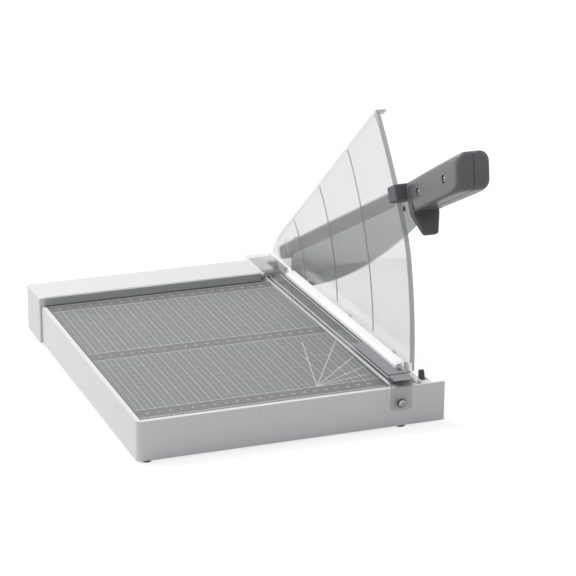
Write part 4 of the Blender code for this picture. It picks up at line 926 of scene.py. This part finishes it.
@dataclass
class Clamp:
    """The hinged clamp: a clear strip with ridges, a white bar, a grey pad and the fan guard.

    Its sizes are in millimetres in the drawing. Each ridge has its distance from
    the strip's left side and from the drawing's front.
    """

    guard_screws: int = 3
    strip_top: float = 38.0
    ridge: float = 0.45
    ridge_starts: Sequence[tuple[float, float]] = ((0.0, 0.0), (4.2, 8.0), (15.5, 97.0))
    ridge_end: float = 306.0
    sheet: float = 0.3
    sheet_front: float = -2.0
    sheet_back: float = 12.9
    sheet_gap: float = 0.3

    def ridges(self) -> None:
        """Raise the ridges along the clear strip, left of the bar, in a white that paints their glint."""
        build = bmesh.new()
        left = across_drawing(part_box("clamp_strip")[0])
        for inset, front in self.ridge_starts:
            across = left + inset
            ribbon(build, (across, front, self.strip_top),
                   (across + self.ridge, self.ridge_end, self.strip_top + self.ridge))
        build.transform(CLAMP_PLACE)
        piece_from(build, "clamp_strip_ridges", Body.CLAMP, PAINTED_RIDGE_GLINT)

    def front_sheet(self) -> None:
        """Carry the grey pad on to the strip's front fold as a thin sheet."""
        build = bmesh.new()
        left = across_drawing(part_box("press_pad")[0])
        right = across_drawing(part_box("guard_boss")[0])
        ribbon(build, (left, self.sheet_front, self.strip_top),
               (right - self.sheet_gap, self.sheet_back, self.strip_top + self.sheet))
        build.transform(CLAMP_PLACE)
        piece_from(build, "press_pad_front_sheet", Body.CLAMP, PAD)

    def build(self) -> None:
        """Dress the clamp and build its ridges and sheet."""
        CLEAR_STRIP.dress("clamp_strip", "guard_boss")
        CLEAR_GUARD.dress("fan_guard")
        WHITE_BAR.dress("clamp_bar", "bar_plug_front", "bar_plug_rear")
        PAD.dress("press_pad")
        ZINC.dress("clamp_hinge_pin", *numbered("guard_screw", self.guard_screws))
        self.ridges()
        self.front_sheet()


@dataclass
class Arm:
    """The lever: its bar, the crescent blade with a full nose, and the block that presses the clamp.

    Its sizes are in millimetres. Places on the blade are along the arm from the
    pivot and above the arm's middle line.
    """

    blade_screws: int = 5
    blade_left: float = 257.3
    blade_right: float = 259.1
    nose: Sequence[tuple[float, float]] = ((314.3, -7.6), (329.8, -7.6), (329.8, -29.6), (325.4, -31.0),
                                           (314.3, -18.2))
    stop: tuple[float, float] = (311.6, -12.6)
    stop_radius: float = 2.6
    rivet: tuple[float, float] = (274.0, -15.0)
    rivet_radius: float = 1.1
    proud: float = 0.12
    disc_sides: int = 24

    def disc(self, name: str, place: tuple[float, float], radius: float, finish: Finish) -> None:
        """Set a thin round piece on the blade's left face.

        Args:
            name: The piece's name.
            place: Its middle, along the arm and above its middle line.
            radius: Its radius.
            finish: Its surface.
        """
        build = bmesh.new()
        middle = Matrix.Translation(on_arm(self.blade_left, *place))
        bmesh.ops.create_cone(build, cap_ends=True, segments=self.disc_sides, radius1=radius * MM,
                              radius2=radius * MM, depth=2 * self.proud * MM, matrix=middle @ TO_THE_SIDE)
        build.transform(ARM_PLACE)
        piece_from(build, name, Body.ARM, finish)

    def build(self) -> None:
        """Dress the bar, the blade and the block, and build the nose, the stop and the rivet."""
        ARM_BAR.dress("arm_bar")
        BLADE.dress("moving_blade")
        ZINC.dress(*numbered("blade_screw", self.blade_screws))
        DARK.dress("press_block")
        nose = slab(self.nose, self.blade_left, self.blade_right)
        piece_from(nose, "blade_nose", Body.ARM, BLADE)
        self.disc("blade_nose_stop", self.stop, self.stop_radius, NOSE_STOP)
        self.disc("blade_rivet", self.rivet, self.rivet_radius, ARM_BAR)


@dataclass
class Grip:
    """The grip: two half shells that meet at a seam, their screws and the hand guard.

    Its sizes are in millimetres. Start and end are distances from the pivot, and
    top and bottom are distances from the arm's middle line. The stations are
    distances from the start where a section is drawn, closer where it turns.
    """

    start: float = 347.3
    end: float = 462.0
    half_width: float = 12.0
    end_half_width: float = 15.0
    top: float = 6.4
    end_top: float = 9.6
    bottom: float = 20.9
    end_bottom: float = 21.4
    lean: float = 10.0
    corner: float = 4.5
    end_corner: float = 9.0
    low_corner: float = 2.6
    low_turn_share: float = 0.75
    end_round: float = 4.5
    heel_round: float = 12.0
    seam_half: float = 0.25
    seam_bevel: float = 0.5
    corner_steps: int = 8
    stations: Sequence[float] = (0.0, 0.3, 0.9, 1.8, 3.0, 4.6, 6.6, 9.0, 12.0, 30.0, 50.0, 70.0, 88.0,
                                 100.0, 106.0, 110.2, 111.4, 112.5, 113.4, 114.1, 114.5, 114.7)
    screw_insets: Sequence[float] = (16.6, 77.9)
    screw_drop: float = 6.6
    sink_radius: float = 3.8
    sink_depth: float = 3.0
    sink_sides: int = 28
    cradle: Sequence[tuple[float, float]] = ((347.3, -8.0), (357.0, -8.0), (357.0, -19.6), (355.4, -20.7),
                                             (347.3, -20.7))
    cradle_half_width: float = 11.3

    def middle(self) -> float:
        """Return the seam's place across the drawing, in millimetres."""
        left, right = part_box("grip_left")[0].x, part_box("grip_right")[1].x
        return ((left + right) / 2 - DRAWING.x) / MM

    def half_at(self, share: float) -> float:
        """Return half the grip's width at a share of its length, in millimetres."""
        return self.half_width + (self.end_half_width - self.half_width) * share

    def heel(self, share: float) -> float:
        """Find how far the underside is raised where the grip starts.

        Args:
            share: How far along the grip it lies, from 0 to 1.

        Returns:
            The rise, in millimetres.
        """
        along = share * (self.end - self.start)
        if along >= self.heel_round:
            return 0.0
        return self.heel_round - math.sqrt(self.heel_round ** 2 - (self.heel_round - along) ** 2)

    def outline(self, share: float, inset: float) -> list[tuple[float, float]]:
        """Return half a section, from the seam's top round the outside to its foot.

        Args:
            share: How far along the grip it lies, from 0 to 1.
            inset: How far it is drawn in, in millimetres.

        Returns:
            Places as distance from the seam and height, in millimetres.
        """
        half = self.half_at(share) - inset
        top = self.top + (self.end_top - self.top) * share - inset
        low = -(self.bottom + (self.end_bottom - self.bottom) * share) + inset + self.heel(share)
        top_turn = self.corner + (self.end_corner - self.corner) * share ** 2
        late = max(share - self.low_turn_share, 0.0) / (1 - self.low_turn_share)
        low_turn = self.low_corner + (top_turn - self.low_corner) * late ** 2
        bevel = self.seam_half + self.seam_bevel
        places = [(self.seam_half, top - self.seam_bevel), (bevel, top)]
        for centre_up, first, turn in ((top - top_turn, 90.0, top_turn), (low + low_turn, 0.0, low_turn)):
            for step in range(self.corner_steps + 1):
                angle = math.radians(first - 90.0 * step / self.corner_steps)
                places.append((half - turn + turn * math.cos(angle), centre_up + turn * math.sin(angle)))
        places += [(bevel, low), (self.seam_half, low + self.seam_bevel)]
        return places

    def shell(self, side: int) -> BMesh:
        """Build one half shell.

        Args:
            side: -1 for the left shell and 1 for the right.

        Returns:
            Its faces, in metres in the model.
        """
        build = bmesh.new()
        middle = self.middle()
        length = self.end - self.start
        rings = []
        for along in self.stations:
            left = max(length - along, 0.0)
            inset = 0.0
            if left < self.end_round:
                inset = self.end_round - math.sqrt(self.end_round ** 2 - (self.end_round - left) ** 2)
            share = along / length
            ring = []
            for out, up in self.outline(share, inset):
                fall = (self.end_top - up) / (self.end_top + self.end_bottom)
                reach = self.start + along - self.lean * max(fall, 0.0) * share
                ring.append(build.verts.new(on_arm(middle + side * out, reach, up)))
            rings.append(ring)
        for one, two in zip(rings, rings[1:]):
            for index in range(len(one)):
                after = (index + 1) % len(one)
                build.faces.new((one[index], one[after], two[after], two[index]))
        build.faces.new(rings[0])
        build.faces.new(rings[-1])
        build.transform(ARM_PLACE)
        return build

    def sinks(self, side: int) -> Object:
        """Return the cutter for the screws' sunk seats.

        Args:
            side: -1 for the left shell and 1 for the right.

        Returns:
            The cutter.
        """
        build = bmesh.new()
        for inset in self.screw_insets:
            half = self.half_at(inset / (self.end - self.start))
            centre = on_arm(self.middle() + side * half, self.start + inset, -self.screw_drop)
            bmesh.ops.create_cone(build, cap_ends=True, segments=self.sink_sides,
                                  radius1=self.sink_radius * MM, radius2=self.sink_radius * MM,
                                  depth=2 * self.sink_depth * MM,
                                  matrix=Matrix.Translation(centre) @ TO_THE_SIDE)
        build.transform(ARM_PLACE)
        return cutter_from(build, "sinks")

    def build(self) -> None:
        """Build both shells, sink the left one's screws and dress the hand guard."""
        for name, side in (("grip_left", -1), ("grip_right", 1)):
            made = piece_from(self.shell(side), f"{name}_shell", Body.ARM, GRIP)
            if side < 0:
                carve(made, self.sinks(side))
            smooth(made)
            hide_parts(name)
        CrossScrews().build(numbered("grip_screw", len(self.screw_insets)), Body.ARM, (-1, 0, 0))
        HAND_GUARD.dress("hand_guard")
        left = self.middle() - self.cradle_half_width
        cradle = slab(self.cradle, left, left + 2 * self.cradle_half_width)
        piece_from(cradle, "hand_guard_cradle", Body.ARM, HAND_GUARD)


@dataclass
class Studio:
    """The pale floor, the soft light and the camera, in metres and radians."""

    spot: Sequence[float] = (-0.67768, -1.93265, 0.806784)
    yaw: float = 0.359336
    pitch: float = 0.335442
    roll: float = 0.00570847
    lens_mm: float = 152.04
    sensor_mm: float = 36.0
    near: float = 0.01
    floor_size: float = 8.0
    floor_roughness: float = 0.9
    floor_glow: float = 0.78
    floor_lit: str = "#DCDCDC"
    floor_seen: str = "#949494"
    sky_level: float = 0.475
    key_place: Sequence[float] = (-1.02, 0.9, 2.1)
    key_size: float = 1.5
    key_watts: float = 53.0

    def seen(self, tree: NodeTree, kinds: Iterable[str]) -> NodeSocket:
        """Tell rays of some kinds from the rest.

        Args:
            tree: The nodes of a material or the world.
            kinds: The kinds of ray, such as "Camera".

        Returns:
            1 where a ray is of one of the kinds, and 0 elsewhere.
        """
        path = add(tree, "LightPath")
        total = None
        for kind in kinds:
            hit = path.outputs[f"Is {kind} Ray"]
            total = hit if total is None else add(tree, "Math", {0: total, 1: hit},
                                                  operation="MAXIMUM").outputs["Value"]
        return total

    def floor(self) -> None:
        """Lay the floor, which shows white and keeps the shadow."""
        bpy.ops.mesh.primitive_plane_add(size=self.floor_size)
        floor = bpy.context.object
        floor.name = "studio_floor"
        made = bpy.data.materials.new("matt_white_paper_sweep")
        made.use_nodes = True
        tree = made.node_tree
        tree.nodes.clear()
        seen = self.seen(tree, ("Camera", "Transmission"))
        glow = add(tree, "Math", {0: seen, 1: self.floor_glow}, operation="MULTIPLY")
        paper = add(tree, "Mix", {0: seen, 6: linear(self.floor_lit), 7: linear(self.floor_seen)},
                    data_type="RGBA")
        sweep = add(tree, "BsdfPrincipled", {"Base Color": paper.outputs[2],
                                             "Roughness": self.floor_roughness,
                                             "Specular IOR Level": 0.0,
                                             "Emission Color": (1, 1, 1, 1),
                                             "Emission Strength": glow.outputs["Value"]})
        add(tree, "OutputMaterial", {"Surface": sweep.outputs["BSDF"]})
        floor.data.materials.append(made)

    def sky(self) -> None:
        """Give the even light of a white studio, seen as white itself."""
        world = bpy.data.worlds.new("white_studio")
        bpy.context.scene.world = world
        world.use_nodes = True
        tree = world.node_tree
        tree.nodes.clear()
        level = add(tree, "MapRange", {"Value": self.seen(tree, ("Camera", "Transmission", "Glossy")),
                                       "To Min": self.sky_level, "To Max": 1.0})
        back = add(tree, "Background", {"Color": (1, 1, 1, 1), "Strength": level.outputs["Result"]})
        add(tree, "OutputWorld", {"Surface": back.outputs["Background"]})

    def lamp(self) -> None:
        """Hang one square soft light that faces the object."""
        data = bpy.data.lights.new("key_softbox", "AREA")
        data.shape = "SQUARE"
        data.size = self.key_size
        data.energy = self.key_watts
        lamp = bpy.data.objects.new("key_softbox", data)
        lamp.location = self.key_place
        lamp.rotation_mode = "QUATERNION"
        lamp.rotation_quaternion = (-Vector(self.key_place)).to_track_quat("-Z", "Y")
        bpy.context.scene.collection.objects.link(lamp)

    def camera(self) -> None:
        """Stand the camera where the photograph was taken from."""
        right = Vector((math.cos(self.yaw), -math.sin(self.yaw), 0))
        forward = Vector((math.sin(self.yaw) * math.cos(self.pitch),
                          math.cos(self.yaw) * math.cos(self.pitch), -math.sin(self.pitch)))
        up = right.cross(forward)
        across = right * math.cos(self.roll) + up * math.sin(self.roll)
        along = up * math.cos(self.roll) - right * math.sin(self.roll)
        turned = Matrix((across, along, -forward)).transposed().to_4x4()
        data = bpy.data.cameras.new("studio_camera")
        data.lens = self.lens_mm
        data.sensor_width = self.sensor_mm
        data.clip_start = self.near
        camera = bpy.data.objects.new("studio_camera", data)
        camera.matrix_world = Matrix.Translation(Vector(self.spot)) @ turned
        bpy.context.scene.collection.objects.link(camera)
        bpy.context.scene.camera = camera

    def build(self) -> None:
        """Set up the floor, the light and the camera."""
        self.floor()
        self.sky()
        self.lamp()
        self.camera()
        bpy.context.scene.view_settings.view_transform = "Standard"


def main() -> None:
    """Set up the studio, then dress the cutter one sub-assembly after another."""
    logging.basicConfig(level=logging.INFO, format="%(message)s")
    for part in (Studio(), Base(), Table(), Pivot(), Clamp(), Arm(), Grip()):
        part.build()
        LOG.info("%s is finished", type(part).__name__)


if __name__ == "__main__":
    main()
